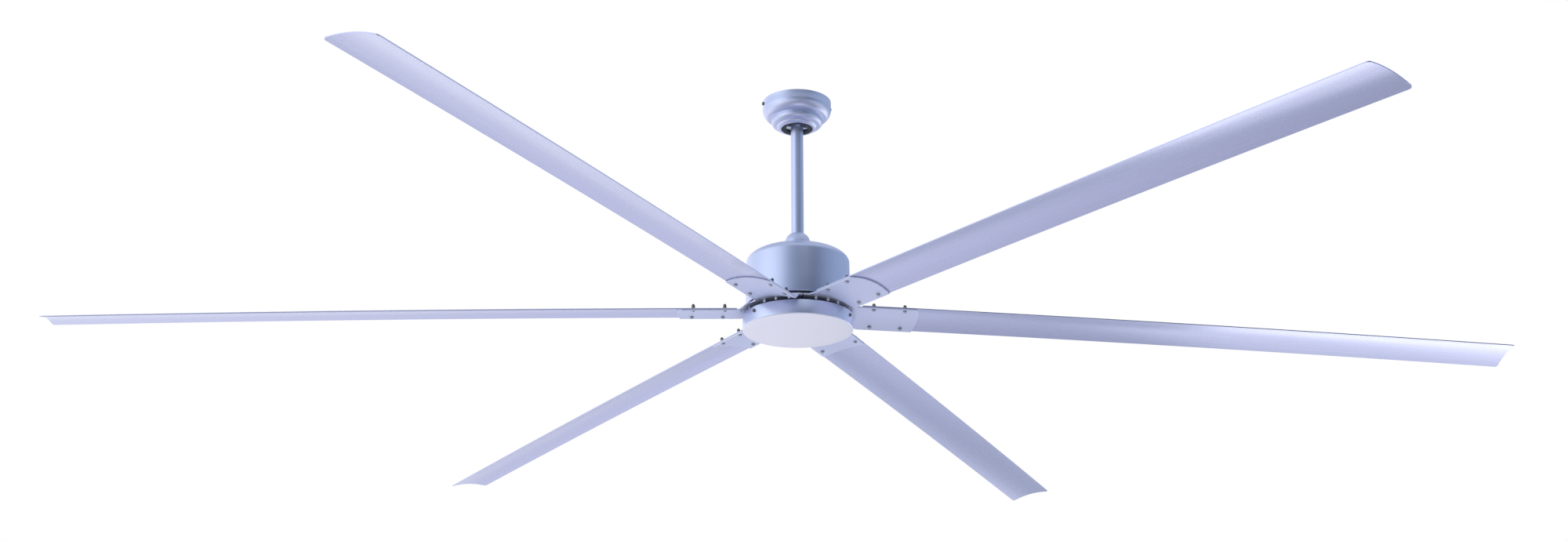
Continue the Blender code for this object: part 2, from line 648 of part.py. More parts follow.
def make_coupling(parent):
    """Yoke with its four housing screws, the clevis pin with its split pin, and the cover."""
    bore = ROD_RADIUS + FIT_GAP
    shaft_bore = SHAFT_RADIUS + FIT_GAP
    flange_top = HOUSING_TOP - HOUSING_WALL - YOKE_CROWN_ROOM
    flange_bottom = flange_top - YOKE_FLANGE_THICKNESS
    boss_shoulder = flange_bottom - YOKE_FLANGE_TAPER
    profile = [(bore, COLLAR_TOP), (COLLAR_RADIUS, COLLAR_TOP), (COLLAR_RADIUS, flange_top),
               (YOKE_FLANGE_RADIUS, flange_top), (YOKE_FLANGE_RADIUS, flange_bottom),
               (YOKE_BOSS_SHOULDER_RADIUS, boss_shoulder), (YOKE_BOSS_RADIUS, YOKE_BOSS_BOTTOM),
               (shaft_bore, YOKE_BOSS_BOTTOM), (shaft_bore, ROD_SEAT), (bore, ROD_SEAT)]
    yoke = turned("motor_yoke", profile, parent, "cast aluminium", steps=SMALL_STEPS, closed=True)
    cross = Matrix.Translation((0, 0, CLEVIS_HEIGHT)) @ Matrix.Rotation(math.pi / 2, 4, "Y")
    turn = Matrix.Rotation(BRACKET_TURN, 4, "Z")
    reach = COLLAR_RADIUS + CUT_OVERRUN
    combine(yoke, cylinder("collar_cut", CLEVIS_RADIUS + HOLE_CLEARANCE, -reach, reach, parent,
                           turn @ cross, PIN_SIDES), "DIFFERENCE")
    for index in range(HOUSING_SCREW_COUNT):
        angle = math.tau * (index + 0.5) / HOUSING_SCREW_COUNT
        spot = Matrix.Rotation(angle, 4, "Z") @ Matrix.Translation((HOUSING_SCREW_CIRCLE, 0, 0))
        shank = cylinder(f"housing_screw_shank_{index}", SCREW_SHANK_RADIUS,
                         flange_top - YOKE_FLANGE_THICKNESS / 2, HOUSING_TOP + SCREW_HEAD_HEIGHT / 2,
                         parent, spot)
        combine(yoke, shank, "UNION")
        head = cylinder(f"housing_screw_head_{index}", SCREW_HEAD_RADIUS, HOUSING_TOP + FIT_GAP,
                        HOUSING_TOP + FIT_GAP + SCREW_HEAD_HEIGHT, parent, spot)
        combine(yoke, head, "UNION")

    head_seat = COLLAR_RADIUS + FIT_GAP
    profile = [(0, head_seat + CLEVIS_HEAD_HEIGHT), (CLEVIS_HEAD_RADIUS, head_seat + CLEVIS_HEAD_HEIGHT),
               (CLEVIS_HEAD_RADIUS, head_seat), (CLEVIS_RADIUS, head_seat),
               (CLEVIS_RADIUS, head_seat - CLEVIS_LENGTH), (0, head_seat - CLEVIS_LENGTH)]
    pin = turned("clevis_pin", profile, parent, "zinc steel", steps=PIN_SIDES, matrix=turn @ cross)
    split_level = -COLLAR_RADIUS - SPLIT_PIN_RADIUS - HOLE_CLEARANCE
    across = Matrix.Translation((0, 0, split_level)) @ Matrix.Rotation(math.pi / 2, 4, "X")
    split = cylinder("split_pin", SPLIT_PIN_RADIUS, -SPLIT_PIN_LENGTH / 2, SPLIT_PIN_LENGTH / 2, parent,
                     turn @ cross @ across, sides=6)
    combine(pin, split, "UNION")

    foot = HOUSING_TOP + FIT_GAP
    rise = COVER_TOP - foot
    spread = COVER_RADIUS - COVER_NECK_RADIUS
    profile = [(COVER_NECK_RADIUS + spread * out, foot + rise * up) for out, up in COVER_SHARES]
    spun_shell("coupling_cover", profile, COVER_WALL, parent, "silver paint", steps=SMALL_STEPS)


def make_housing(parent):
    """Fixed motor housing: flat crown, elliptical shoulder and straight side, open below."""
    centre = (CROWN_FLAT_RADIUS, HOUSING_TOP - SHOULDER_DEPTH)
    profile = [(HOUSING_BORE, HOUSING_TOP)]
    profile += arc(centre, (HOUSING_RADIUS - CROWN_FLAT_RADIUS, SHOULDER_DEPTH), 90, 0, 7)
    profile += [(HOUSING_RADIUS, HOUSING_BOTTOM)]
    housing = spun_shell("motor_housing", profile, HOUSING_WALL, parent, "silver paint")
    for index in range(HOUSING_SCREW_COUNT):
        angle = math.tau * (index + 0.5) / HOUSING_SCREW_COUNT
        spot = Matrix.Rotation(angle, 4, "Z") @ Matrix.Translation((HOUSING_SCREW_CIRCLE, 0, 0))
        combine(housing, cylinder(f"housing_cut_{index}", SCREW_SHANK_RADIUS + HOLE_CLEARANCE,
                                  HOUSING_TOP - HOUSING_WALL - CUT_OVERRUN, HOUSING_TOP + CUT_OVERRUN,
                                  parent, spot), "DIFFERENCE")


def make_shaft_and_stator(parent):
    """The fixed part of the motor: hollow shaft, toothed core and its winding."""
    profile = [(SHAFT_BORE, SHAFT_TOP), (SHAFT_RADIUS, SHAFT_TOP), (SHAFT_RADIUS, SHAFT_BOTTOM),
               (SHAFT_BORE, SHAFT_BOTTOM)]
    turned("motor_shaft", profile, parent, "zinc steel", steps=SMALL_STEPS, closed=True)
    place("stator_core", core_mesh(), parent, "lamination steel",
          Matrix.Translation((0, 0, STATOR_BOTTOM + STATOR_STACK / 2)))

    core_top = STATOR_BOTTOM + STATOR_STACK
    winding = winding_ring("stator_winding", core_top + FIT_GAP, parent)
    lower = winding_ring("winding_below", STATOR_BOTTOM - FIT_GAP - WINDING_OVERHANG, parent)
    combine(winding, lower, "UNION")
    middle = (WINDING_INNER_RADIUS + WINDING_OUTER_RADIUS) / 2
    bm = bmesh.new()
    for index in range(STATOR_TEETH):
        angle = math.tau * (index + 0.5) / STATOR_TEETH
        spot = (Matrix.Rotation(angle, 4, "Z")
                @ Matrix.Translation((middle, 0, STATOR_BOTTOM + STATOR_STACK / 2)))
        bmesh.ops.create_cone(bm, cap_ends=True, segments=6, radius1=WINDING_BAR_RADIUS,
                              radius2=WINDING_BAR_RADIUS, depth=STATOR_STACK + WINDING_OVERHANG, matrix=spot)
    bars = place("winding_bars", mesh_from(bm, "winding_bars"), parent, "copper wire")
    combine(winding, bars, "UNION")


def winding_ring(name, bottom, parent):
    """End turns of the winding, a rounded ring above or below the core."""
    top = bottom + WINDING_OVERHANG
    middle = bottom + WINDING_OVERHANG / 2
    inner = WINDING_INNER_RADIUS + WINDING_EDGE
    outer = WINDING_OUTER_RADIUS - WINDING_EDGE
    profile = [(inner, top), (outer, top), (WINDING_OUTER_RADIUS, middle), (outer, bottom),
               (inner, bottom), (WINDING_INNER_RADIUS, middle)]
    return turned(name, profile, parent, "copper wire", steps=SMALL_STEPS, closed=True)


def core_mesh():
    """Stack of laminations: a flat outline with T-shaped teeth round a bored disc."""
    curve = bpy.data.curves.new("stator_core", "CURVE")
    curve.dimensions = "2D"
    curve.fill_mode = "BOTH"
    curve.extrude = STATOR_STACK / 2
    tip_inner = STATOR_RADIUS - TOOTH_TIP_DEPTH
    outline = []
    for index in range(STATOR_TEETH):
        middle = math.tau * index / STATOR_TEETH
        half_pitch = math.pi / STATOR_TEETH
        tip = half_pitch - SLOT_MOUTH / 2 / STATOR_RADIUS
        neck_out = math.asin(TOOTH_NECK / 2 / tip_inner)
        neck_in = math.asin(TOOTH_NECK / 2 / STATOR_YOKE_RADIUS)
        for radius, angle in ((STATOR_YOKE_RADIUS, -neck_in), (tip_inner, -neck_out), (STATOR_RADIUS, -tip),
                              (STATOR_RADIUS, 0), (STATOR_RADIUS, tip), (tip_inner, neck_out),
                              (STATOR_YOKE_RADIUS, neck_in)):
            outline.append((radius * math.cos(middle + angle), radius * math.sin(middle + angle)))
    hole = SHAFT_RADIUS + STATOR_BORE_CLEARANCE
    bore = [(hole * math.cos(math.tau * k / SMALL_STEPS), hole * math.sin(math.tau * k / SMALL_STEPS))
            for k in range(SMALL_STEPS)]
    for points in (outline, bore):
        spline = curve.splines.new("POLY")
        spline.points.add(len(points) - 1)
        for point, (x, y) in zip(spline.points, points):
            point.co = (x, y, 0, 1)
        spline.use_cyclic_u = True
    flat = bpy.data.objects.new("stator_outline", curve)
    FAN.objects.link(flat)
    mesh = finished_mesh(flat, "stator_core")
    bpy.data.curves.remove(curve)
    bm = bmesh.new()
    bm.from_mesh(mesh)
    bmesh.ops.remove_doubles(bm, verts=bm.verts, dist=WELD_DISTANCE)
    bmesh.ops.recalc_face_normals(bm, faces=bm.faces)
    bm.to_mesh(mesh)
    bm.free()
    return mesh


def make_bearing(name, bottom, parent):
    """Deep-groove bearing as one ring: two races with a sunk shield between them."""
    inner = SHAFT_RADIUS + FIT_GAP
    outer = BEARING_RADIUS - FIT_GAP
    top = bottom + BEARING_WIDTH
    profile = [(inner, top), (inner + BEARING_RACE, top),
               (inner + BEARING_RACE, top - BEARING_RECESS), (outer - BEARING_RACE, top - BEARING_RECESS),
               (outer - BEARING_RACE, top), (outer, top), (outer, bottom), (inner, bottom)]
    turned(name, profile, parent, "zinc steel", steps=SMALL_STEPS, closed=True)


def make_rotor(parent):
    """What turns inside the housing: bearings, magnet case and the hub plate below it."""
    make_bearing("upper_bearing", UPPER_BEARING_BOTTOM, parent)
    make_bearing("lower_bearing", LOWER_BEARING_BOTTOM, parent)

    foot_bottom = HUB_PLATE_TOP + FIT_GAP
    foot_top = foot_bottom + CASE_FOOT_THICKNESS
    pocket = UPPER_BEARING_BOTTOM - FIT_GAP
    pocket_top = pocket + BEARING_WIDTH
    inner = CASE_RADIUS - CASE_WALL
    magnet = inner - MAGNET_THICKNESS
    magnet_low = STATOR_BOTTOM - MAGNET_OVERLAP
    magnet_high = STATOR_BOTTOM + STATOR_STACK + MAGNET_OVERLAP
    ceiling = CASE_TOP - CASE_WALL
    neck = BEARING_RADIUS + BEARING_WALL
    profile = [(BEARING_RADIUS, pocket_top), (neck, pocket_top), (neck, CASE_TOP),
               (CASE_RADIUS - CASE_CORNER, CASE_TOP), (CASE_RADIUS, CASE_TOP - CASE_CORNER),
               (CASE_RADIUS, foot_top), (CASE_FOOT_RADIUS, foot_top), (CASE_FOOT_RADIUS, foot_bottom),
               (inner, foot_bottom), (inner, magnet_low), (magnet, magnet_low), (magnet, magnet_high),
               (inner, magnet_high), (inner, ceiling), (BEARING_LIP, ceiling),
               (BEARING_LIP, pocket), (BEARING_RADIUS, pocket)]
    turned("magnet_case", profile, parent, "cast aluminium", steps=MIDDLE_STEPS, closed=True)

    pocket = LOWER_BEARING_BOTTOM - FIT_GAP
    pocket_top = pocket + BEARING_WIDTH
    well = SHAFT_BOTTOM - SHAFT_END_ROOM
    pilot = IRON_BORE_RADIUS - FIT_GAP
    profile = [(0, well), (BEARING_LIP, well), (BEARING_LIP, pocket), (BEARING_RADIUS, pocket),
               (BEARING_RADIUS, pocket_top), (neck, pocket_top), (neck, HUB_PLATE_TOP),
               (HUB_PLATE_RADIUS, HUB_PLATE_TOP), (HUB_PLATE_RADIUS, HUB_PLATE_BOTTOM),
               (pilot, HUB_PLATE_BOTTOM), (pilot, HUB_PLATE_BOTTOM - HUB_PILOT_DEPTH),
               (HUB_BOSS_RADIUS, HUB_PLATE_BOTTOM - HUB_PILOT_DEPTH), (HUB_BOSS_RADIUS, HUB_BOSS_BOTTOM),
               (0, HUB_BOSS_BOTTOM)]
    turned("rotor_hub", profile, parent, "silver paint", steps=MIDDLE_STEPS)


def make_cap(parent):
    """Bottom cap, the dish that it is screwed to, and its side screws."""
    top = HUB_BOSS_BOTTOM - FIT_GAP
    rim = CAP_RADIUS - CAP_WALL - FIT_GAP
    inner_rim = rim - CARRIER_WALL
    profile = [(CARRIER_BORE, top), (rim, top), (rim, top - CARRIER_RIM_HEIGHT),
               (inner_rim, top - CARRIER_RIM_HEIGHT), (inner_rim, top - CARRIER_WALL),
               (CARRIER_BORE, top - CARRIER_WALL)]
    carrier = turned("cap_carrier", profile, parent, "zinc steel", closed=True)
    profile = [(CAP_RADIUS, CAP_TOP)]
    profile += arc((CAP_RADIUS - CAP_EDGE_RADIUS, CAP_BOTTOM + CAP_EDGE_RADIUS),
                   (CAP_EDGE_RADIUS, CAP_EDGE_RADIUS), 0, -90, 2)
    profile += [(0, CAP_BOTTOM)]
    cap = spun_shell("bottom_cap", profile, CAP_WALL, parent, "silver paint")
    screw = screw_mesh("cap_screw", CAP_RADIUS + FIT_GAP, CAP_SCREW_LENGTH)
    for index in range(CAP_SCREW_COUNT):
        matrix = radial_matrix(CAP_SCREW_START + math.tau * index / CAP_SCREW_COUNT, CAP_SCREW_HEIGHT)
        hole = cylinder(f"cap_cut_{index}", SCREW_SHANK_RADIUS + HOLE_CLEARANCE, inner_rim - CUT_OVERRUN,
                        CAP_RADIUS + CUT_OVERRUN, parent, matrix)
        combine(cap, hole, "DIFFERENCE")
        combine(carrier, hole, "DIFFERENCE")
        place(f"cap_screw_{index + 1}", screw, parent, "nickel screw", matrix)


def crown_height(across):
    """Height of the crowned sheet above its chord line, facet by facet."""
    half = CHORD_SEGMENTS / 2
    facet = abs(across) / (BLADE_CHORD / 2) * half
    inner = min(math.floor(facet), half - 1)
    rise_in = BLADE_CROWN * (1 - (inner / half) ** 2)
    rise_out = BLADE_CROWN * (1 - ((inner + 1) / half) ** 2)
    return rise_in + (rise_out - rise_in) * (facet - inner)


def blade_underside(reach, across):
    """Point of the underside of a blade drawn along +X, across towards its low edge."""
    along = (reach - BLADE_ROOT) / (BLADE_TIP - BLADE_ROOT)
    pitch = PITCH_AT_ROOT + (PITCH_AT_TIP - PITCH_AT_ROOT) * along
    beyond = reach - LEVEL_REACH
    drop = math.tan(DROOP) * beyond + SAG_AT_TIP * (beyond / (BLADE_TIP - LEVEL_REACH)) ** 2
    above = crown_height(across) - BLADE_THICKNESS / 2
    return Vector((reach,
                   BLADE_OFFSET + across * math.cos(pitch) + above * math.sin(pitch),
                   -drop - across * math.sin(pitch) + above * math.cos(pitch)))


def surface_frame(reach, across):
    """Matrix at a spot of the blade's underside, with Z square to the sheet."""
    step = BLADE_THICKNESS
    origin = blade_underside(reach, across)
    along = blade_underside(reach + step, across) - origin
    sideways = blade_underside(reach, across + step) - blade_underside(reach, across - step)
    normal = along.cross(sideways).normalized()
    along.normalize()
    side = normal.cross(along)
    return Matrix.Translation(origin) @ Matrix((along, side, normal)).transposed().to_4x4()


def bolt_spots():
    """Reach and place across the chord of the four bolts of a blade."""
    return [(reach, side * BOLT_ACROSS) for reach in (BOLT_INNER_REACH, BOLT_OUTER_REACH) for side in (-1, 1)]


def chord_shares():
    """Places across a blade, as shares of its half width."""
    return [2 * k / CHORD_SEGMENTS - 1 for k in range(CHORD_SEGMENTS + 1)]


def sheet_piece(name, rows, columns, spot, thickness, offset, finish):
    """A pressed sheet on a grid of rows and columns; a point whose place is None is left out."""
    bm = bmesh.new()
    bmesh.ops.create_grid(bm, x_segments=len(rows) - 1, y_segments=len(columns) - 1, size=1)
    left_out = []
    for vertex in bm.verts:
        row = rows[round((vertex.co.x + 1) / 2 * (len(rows) - 1))]
        column = columns[round((vertex.co.y + 1) / 2 * (len(columns) - 1))]
        point = spot(row, column)
        if point is None:
            left_out.append(vertex)
        else:
            vertex.co = point
    bmesh.ops.delete(bm, geom=left_out, context="VERTS")
    piece = place(name, mesh_from(bm, name), None, finish)
    sheet = piece.modifiers.new("sheet", "SOLIDIFY")
    sheet.thickness = thickness
    sheet.offset = offset
    sheet.use_even_offset = True
    for index, (reach, across) in enumerate(bolt_spots()):
        depth = BLADE_THICKNESS + IRON_THICKNESS + CUT_OVERRUN
        combine(piece, cylinder(f"{name}_hole_{index}", BOLT_HOLE_RADIUS, -depth, depth,
                                None, surface_frame(reach, across)), "DIFFERENCE")
    return piece


def blade_mesh():
    """One blade: a long pitched sheet, crowned across its chord, with rounded tip corners."""
    straight_end = BLADE_TIP - BLADE_CORNER
    rows = [(BLADE_ROOT + (straight_end - BLADE_ROOT) * k / SPAN_SEGMENTS, 0) for k in range(SPAN_SEGMENTS)]
    for angle in (0, math.pi / 4, math.pi / 2):
        rows.append((straight_end + BLADE_CORNER * math.sin(angle), BLADE_CORNER * (1 - math.cos(angle))))

    def spot(row, share):
        reach, inset = row
        return blade_underside(reach, share * (BLADE_CHORD / 2 - inset))

    blade = sheet_piece("blade", rows, chord_shares(), spot, BLADE_THICKNESS, 1, "blade paint")
    return finished_mesh(blade, "blade")


def flange_spot(radius, share, wing):
    """Point of the flat sector, in line with the arm or, on a wing, at the seam to the next iron."""
    if wing:
        angle = wing * (math.pi / BLADE_COUNT - math.asin(IRON_SEAM / 2 / radius))
    else:
        angle = math.asin((BLADE_OFFSET + share * BLADE_CHORD / 2) / FLANGE_RADIUS)
    return Vector((radius * math.cos(angle), radius * math.sin(angle), HUB_PLATE_BOTTOM - FIT_GAP))


def paddle_spot(along, share):
    """Point of the paddle a fit gap under the blade, along from its bend to its bowed end."""
    run = BEND_HIGH_RUN + (BEND_LOW_RUN - BEND_HIGH_RUN) * (share + 1) / 2
    start = FLANGE_RADIUS + run
    end = IRON_END_REACH - IRON_END_ARC_DEPTH * share ** 2
    point = blade_underside(start + (end - start) * along, share * BLADE_CHORD / 2)
    return point - Vector((0, 0, FIT_GAP))


def iron_spot(row, column):
    """Point of the iron's top face; the rows run from the sector through the bend to the paddle."""
    part, along = row
    share, wing = column
    if part == "sector":
        return flange_spot(along, share, wing)
    if wing:
        return None
    if part == "paddle":
        return paddle_spot(along, share)
    inner = flange_spot(FLANGE_RADIUS, share, 0)
    outer = paddle_spot(0, share)
    point = inner.lerp(outer, along)
    point.z = inner.z + (outer.z - inner.z) * along * along * (3 - 2 * along)
    return point


def iron_mesh():
    """One blade iron: hub sector with its wings, bend, twist and paddle, with its hub screw heads."""
    rows = [("sector", IRON_BORE_RADIUS), ("sector", FLANGE_RADIUS)]
    rows += [("bend", step / BEND_SEGMENTS) for step in range(1, BEND_SEGMENTS)]
    rows += [("paddle", step / PADDLE_SEGMENTS) for step in range(PADDLE_SEGMENTS + 1)]
    columns = [(-1, -1)] + [(share, 0) for share in chord_shares()] + [(1, 1)]
    iron = sheet_piece("blade_iron", rows, columns, iron_spot, IRON_THICKNESS, -1, "silver paint")
    flange_bottom = HUB_PLATE_BOTTOM - FIT_GAP - IRON_THICKNESS
    for index in range(IRON_SCREW_COUNT):
        angle = (index - (IRON_SCREW_COUNT - 1) / 2) * IRON_SCREW_STEP
        spot = Matrix.Rotation(angle, 4, "Z") @ Matrix.Translation((IRON_SCREW_CIRCLE, 0, 0))
        head = cylinder(f"iron_screw_{index}", IRON_SCREW_RADIUS, flange_bottom - IRON_SCREW_HEIGHT,
                        flange_bottom + IRON_THICKNESS / 2, None, spot)
        combine(iron, head, "UNION")
    return finished_mesh(iron, "blade_iron")


def bolt_mesh():
    """Hexagon bolt with its domed nut, drawn along +Z from the blade's underside."""
    nut = BLADE_THICKNESS + FIT_GAP
    head = -IRON_THICKNESS - FIT_GAP - BOLT_SEAT_GAP
    flat = nut + NUT_HEIGHT
    profile = [(0, flat + NUT_DOME_HEIGHT), (NUT_DOME_SHOULDER, flat + NUT_DOME_HEIGHT / 2),
               (BOLT_HEX_RADIUS, flat), (BOLT_HEX_RADIUS, nut), (BOLT_RADIUS, nut),
               (BOLT_RADIUS, head), (BOLT_HEX_RADIUS, head), (BOLT_HEX_RADIUS, head - BOLT_HEAD_HEIGHT),
               (0, head - BOLT_HEAD_HEIGHT)]
    return finished_mesh(turned("blade_bolt", profile, None, "nickel screw", steps=BOLT_SIDES), "blade_bolt")


def make_blades(parent):
    """Six irons, six blades and the four bolts through each pair."""
    iron = iron_mesh()
    blade = blade_mesh()
    bolt = bolt_mesh()
    for index in range(BLADE_COUNT):
        turn = Matrix.Rotation(math.tau * index / BLADE_COUNT, 4, "Z")
        place(f"blade_iron_{index + 1}", iron, parent, "silver paint", turn)
        place(f"blade_{index + 1}", blade, parent, "blade paint", turn)
        for number, (reach, across) in enumerate(bolt_spots()):
            place(f"blade_bolt_{index + 1}_{number + 1}", bolt, parent, "nickel screw",
                  turn @ surface_frame(reach, across))


def build():
    """Makes the whole fan."""
    ceiling_frame = frame("ceiling_frame", None, (0, 0, 0), BRACKET_TURN)
    swing_frame = frame("swing_frame", None, (0, 0, -BALL_DROP), BRACKET_TURN)
    motor_frame = frame("motor_frame", swing_frame, (0, 0, BALL_DROP - HUB_DROP), -BRACKET_TURN)
    rotor_frame = frame("rotor_frame", motor_frame, (0, 0, 0), 0)
    make_bracket(ceiling_frame)
    make_canopy(ceiling_frame)
    pin_level = make_ball(swing_frame)
    make_downrod(swing_frame, pin_level)
    make_coupling(motor_frame)
    make_housing(motor_frame)
    make_shaft_and_stator(motor_frame)
    make_rotor(rotor_frame)
    make_cap(rotor_frame)
    make_blades(rotor_frame)
    bpy.context.view_layer.update()


build()
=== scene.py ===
import math
from collections import namedtuple

import bmesh
import bpy
from bpy.props import FloatProperty, FloatVectorProperty, IntProperty, PointerProperty
from mathutils import Matrix, Vector


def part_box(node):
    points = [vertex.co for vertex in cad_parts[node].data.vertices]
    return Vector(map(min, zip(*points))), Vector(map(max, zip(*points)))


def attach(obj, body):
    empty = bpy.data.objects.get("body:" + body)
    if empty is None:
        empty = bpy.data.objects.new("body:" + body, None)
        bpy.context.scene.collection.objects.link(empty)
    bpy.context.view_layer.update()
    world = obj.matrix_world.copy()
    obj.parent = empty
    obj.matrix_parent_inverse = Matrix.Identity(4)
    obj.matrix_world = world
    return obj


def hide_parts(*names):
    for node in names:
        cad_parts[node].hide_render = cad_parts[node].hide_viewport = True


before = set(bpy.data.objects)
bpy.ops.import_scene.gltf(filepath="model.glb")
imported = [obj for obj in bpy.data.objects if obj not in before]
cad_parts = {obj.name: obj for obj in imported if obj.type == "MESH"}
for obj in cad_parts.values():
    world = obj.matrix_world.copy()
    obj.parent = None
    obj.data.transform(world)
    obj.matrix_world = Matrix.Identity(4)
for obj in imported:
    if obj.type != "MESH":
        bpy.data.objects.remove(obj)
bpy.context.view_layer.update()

bl_info = {
    "name": "Downrod Ceiling Fan",
    "version": (1, 0, 0),
    "blender": (4, 5, 0),
    "location": "3D View > Sidebar > Ceiling Fan",
    "description": "Dresses a six-blade ceiling fan on its packed frame",
    "category": "Add Mesh",
}

HUB_LEVEL = -0.4885
BLADE_COUNT = 6
FIT_GAP = 0.0003
MERGE_DISTANCE = 0.000005
SMALL_STEPS = 24


class FanSizes(bpy.types.PropertyGroup):
    """Sizes of the pieces that the frame's solids leave plain."""

    round_steps: IntProperty(
        name="Round steps", description="Sides of the turned shells", default=128, min=24)
    chord_lines: IntProperty(
        name="Chord lines", description="Facets across a blade", default=16, min=6)
    edge_round: FloatProperty(
        name="Edge rounding", description="Rounding of sheet edges", default=0.0007,
        unit="LENGTH")
    canopy_radius: FloatProperty(
        name="Canopy radius", description="Outer radius of the canopy's band", default=0.0742,
        unit="LENGTH")
    housing_radius: FloatProperty(
        name="Housing radius", description="Outer radius of the motor housing", default=0.1095,
        unit="LENGTH")
    cap_radius: FloatProperty(
        name="Cap radius", description="Outer radius of the bottom cap", default=0.1155,
        unit="LENGTH")
    rod_radius: FloatProperty(
        name="Rod radius", description="Outer radius of the downrod", default=0.01335,
        unit="LENGTH")
    blade_root: FloatProperty(
        name="Blade root", description="Reach of a blade's inner end", default=0.1310,
        unit="LENGTH")
    blade_tip: FloatProperty(
        name="Blade tip", description="Reach of a blade's outer end", default=1.5247,
        unit="LENGTH")
    blade_chord: FloatProperty(
        name="Blade chord", description="Width of a blade", default=0.1004, unit="LENGTH")


class FanFinishes(bpy.types.PropertyGroup):
    """Colours of the finishes."""

    paint: FloatVectorProperty(
        name="Body paint", description="Silver paint of canopy, rod and housing",
        subtype="COLOR", size=3, default=(0.65, 0.69, 0.87), min=0, max=1)
    paint_shade: FloatVectorProperty(
        name="Body paint shade", description="Darker flecks of the body paint",
        subtype="COLOR", size=3, default=(0.55, 0.60, 0.79), min=0, max=1)
    blade_paint: FloatVectorProperty(
        name="Blade paint", description="Silver paint of the blades",
        subtype="COLOR", size=3, default=(0.65, 0.665, 0.86), min=0, max=1)
    iron_paint: FloatVectorProperty(
        name="Iron paint", description="Silver paint of the blade irons",
        subtype="COLOR", size=3, default=(0.76, 0.79, 0.96), min=0, max=1)
    # The cap's underside colour is a lit copy of the cap's paint: painted light, lighter than the
    # side's.
    cap_underside_painted_light: FloatVectorProperty(
        name="Cap paint", description="Lighter silver paint under the cap",
        subtype="COLOR", size=3, default=(1.0, 0.98, 1.0), min=0, max=1)
    rubber: FloatVectorProperty(
        name="Rubber", description="Ring in the canopy's mouth, hanger ball and hub plate",
        subtype="COLOR", size=3, default=(0.012, 0.013, 0.020), min=0, max=1)
    steel: FloatVectorProperty(
        name="Screw steel", description="Bolts and screws",
        subtype="COLOR", size=3, default=(0.50, 0.51, 0.54), min=0, max=1)
    zinc: FloatVectorProperty(
        name="Zinc", description="Plated bracket and pins",
        subtype="COLOR", size=3, default=(0.30, 0.31, 0.34), min=0, max=1)
    copper: FloatVectorProperty(
        name="Copper", description="Enamelled winding",
        subtype="COLOR", size=3, default=(0.55, 0.20, 0.08), min=0, max=1)


# Finishes. A colour is three shares of its own, or the name of a colour above and a factor.
# A finish with a stretch has drawn lines, one without has sprayed flecks.


Finish = namedtuple("Finish", ["material", "colour", "shade", "roughness", "metallic", "bump",
                               "stretch", "spread", "coordinates", "bump_depth"],
                    defaults=(None, None, "Object", 0.0001))

SCREW_LINES = (900.0, 900.0, 2600.0)

FINISHES = {
    "body paint": Finish("Body Silver Paint", ("paint", 1.0), ("paint_shade", 1.0),
                         roughness=0.36, metallic=0.95, bump=0.04),
    "iron paint": Finish("Iron Silver Paint", ("iron_paint", 1.0), ("iron_paint", 0.86),
                         roughness=0.44, metallic=0.72, bump=0.05),
    "blade paint": Finish("Blade Silver Paint", ("blade_paint", 1.0), ("blade_paint", 0.90),
                          roughness=0.24, metallic=0.75, bump=0.04,
                          stretch=(3.0, 420.0, 1.0), spread=0.08, coordinates="UV"),
    # The cap's underside and side are lit and shaded copies of one paint; the underside is painted
    # lighter.
    "cap underside painted light": Finish("Cap Silver Paint", ("cap_underside_painted_light", 1.0), ("cap_underside_painted_light", 0.90),
                        roughness=0.30, metallic=0.88, bump=0.04),
    "cap side shaded copy": Finish("Cap Side Silver Paint", (0.72, 0.77, 0.94), (0.64, 0.69, 0.86),
                             roughness=0.40, metallic=0.95, bump=0.04),
    "rubber": Finish("Black Rubber", ("rubber", 1.0), ("rubber", 1.6),
                     roughness=0.55, metallic=0.0, bump=0.25),
    # The hub plate is made near black, which draws the dark band under the housing's edge.
    "black coat": Finish("Black Coated Hub", ("rubber", 1.0), ("rubber", 2.2),
                         roughness=0.45, metallic=0.0, bump=0.1),
    "screw steel": Finish("Screw Steel", ("steel", 1.15), ("steel", 0.8),
                          roughness=0.20, metallic=1.0, bump=0.08,
                          stretch=SCREW_LINES, spread=0.15),
    "bright steel": Finish("Bright Screw Steel", (0.86, 0.87, 0.90), (0.66, 0.67, 0.70),
                           roughness=0.30, metallic=0.7, bump=0.06,
                           stretch=SCREW_LINES, spread=0.15),
    "dark nut": Finish("Dark Nut Steel", ("steel", 0.42), ("steel", 0.25),
                       roughness=0.25, metallic=1.0, bump=0.08,
                       stretch=(900.0, 900.0, 1400.0), spread=0.20),
    "zinc": Finish("Zinc Plate", ("zinc", 1.0), ("zinc", 0.75),
                   roughness=0.32, metallic=1.0, bump=0.12),
    "laminations": Finish("Stacked Laminations", (0.16, 0.165, 0.18), (0.05, 0.05, 0.06),
                          roughness=0.40, metallic=0.9, bump=0.5,
                          stretch=(6.0, 6.0, 2000.0), spread=0.25),
    "copper": Finish("Enamelled Copper", ("copper", 1.0), ("copper", 0.45),
                     roughness=0.25, metallic=0.9, bump=0.6,
                     stretch=(60.0, 60.0, 1500.0), spread=0.2, bump_depth=0.0003),
    "cast aluminium": Finish("Cast Aluminium", (0.50, 0.51, 0.53), (0.36, 0.37, 0.39),
                             roughness=0.45, metallic=1.0, bump=0.5, bump_depth=0.0002),
}


# Node groups and materials


SURFACE_OUTPUTS = [("Colour", "NodeSocketColor"), ("Roughness", "NodeSocketFloat"),
                   ("Height", "NodeSocketFloat")]


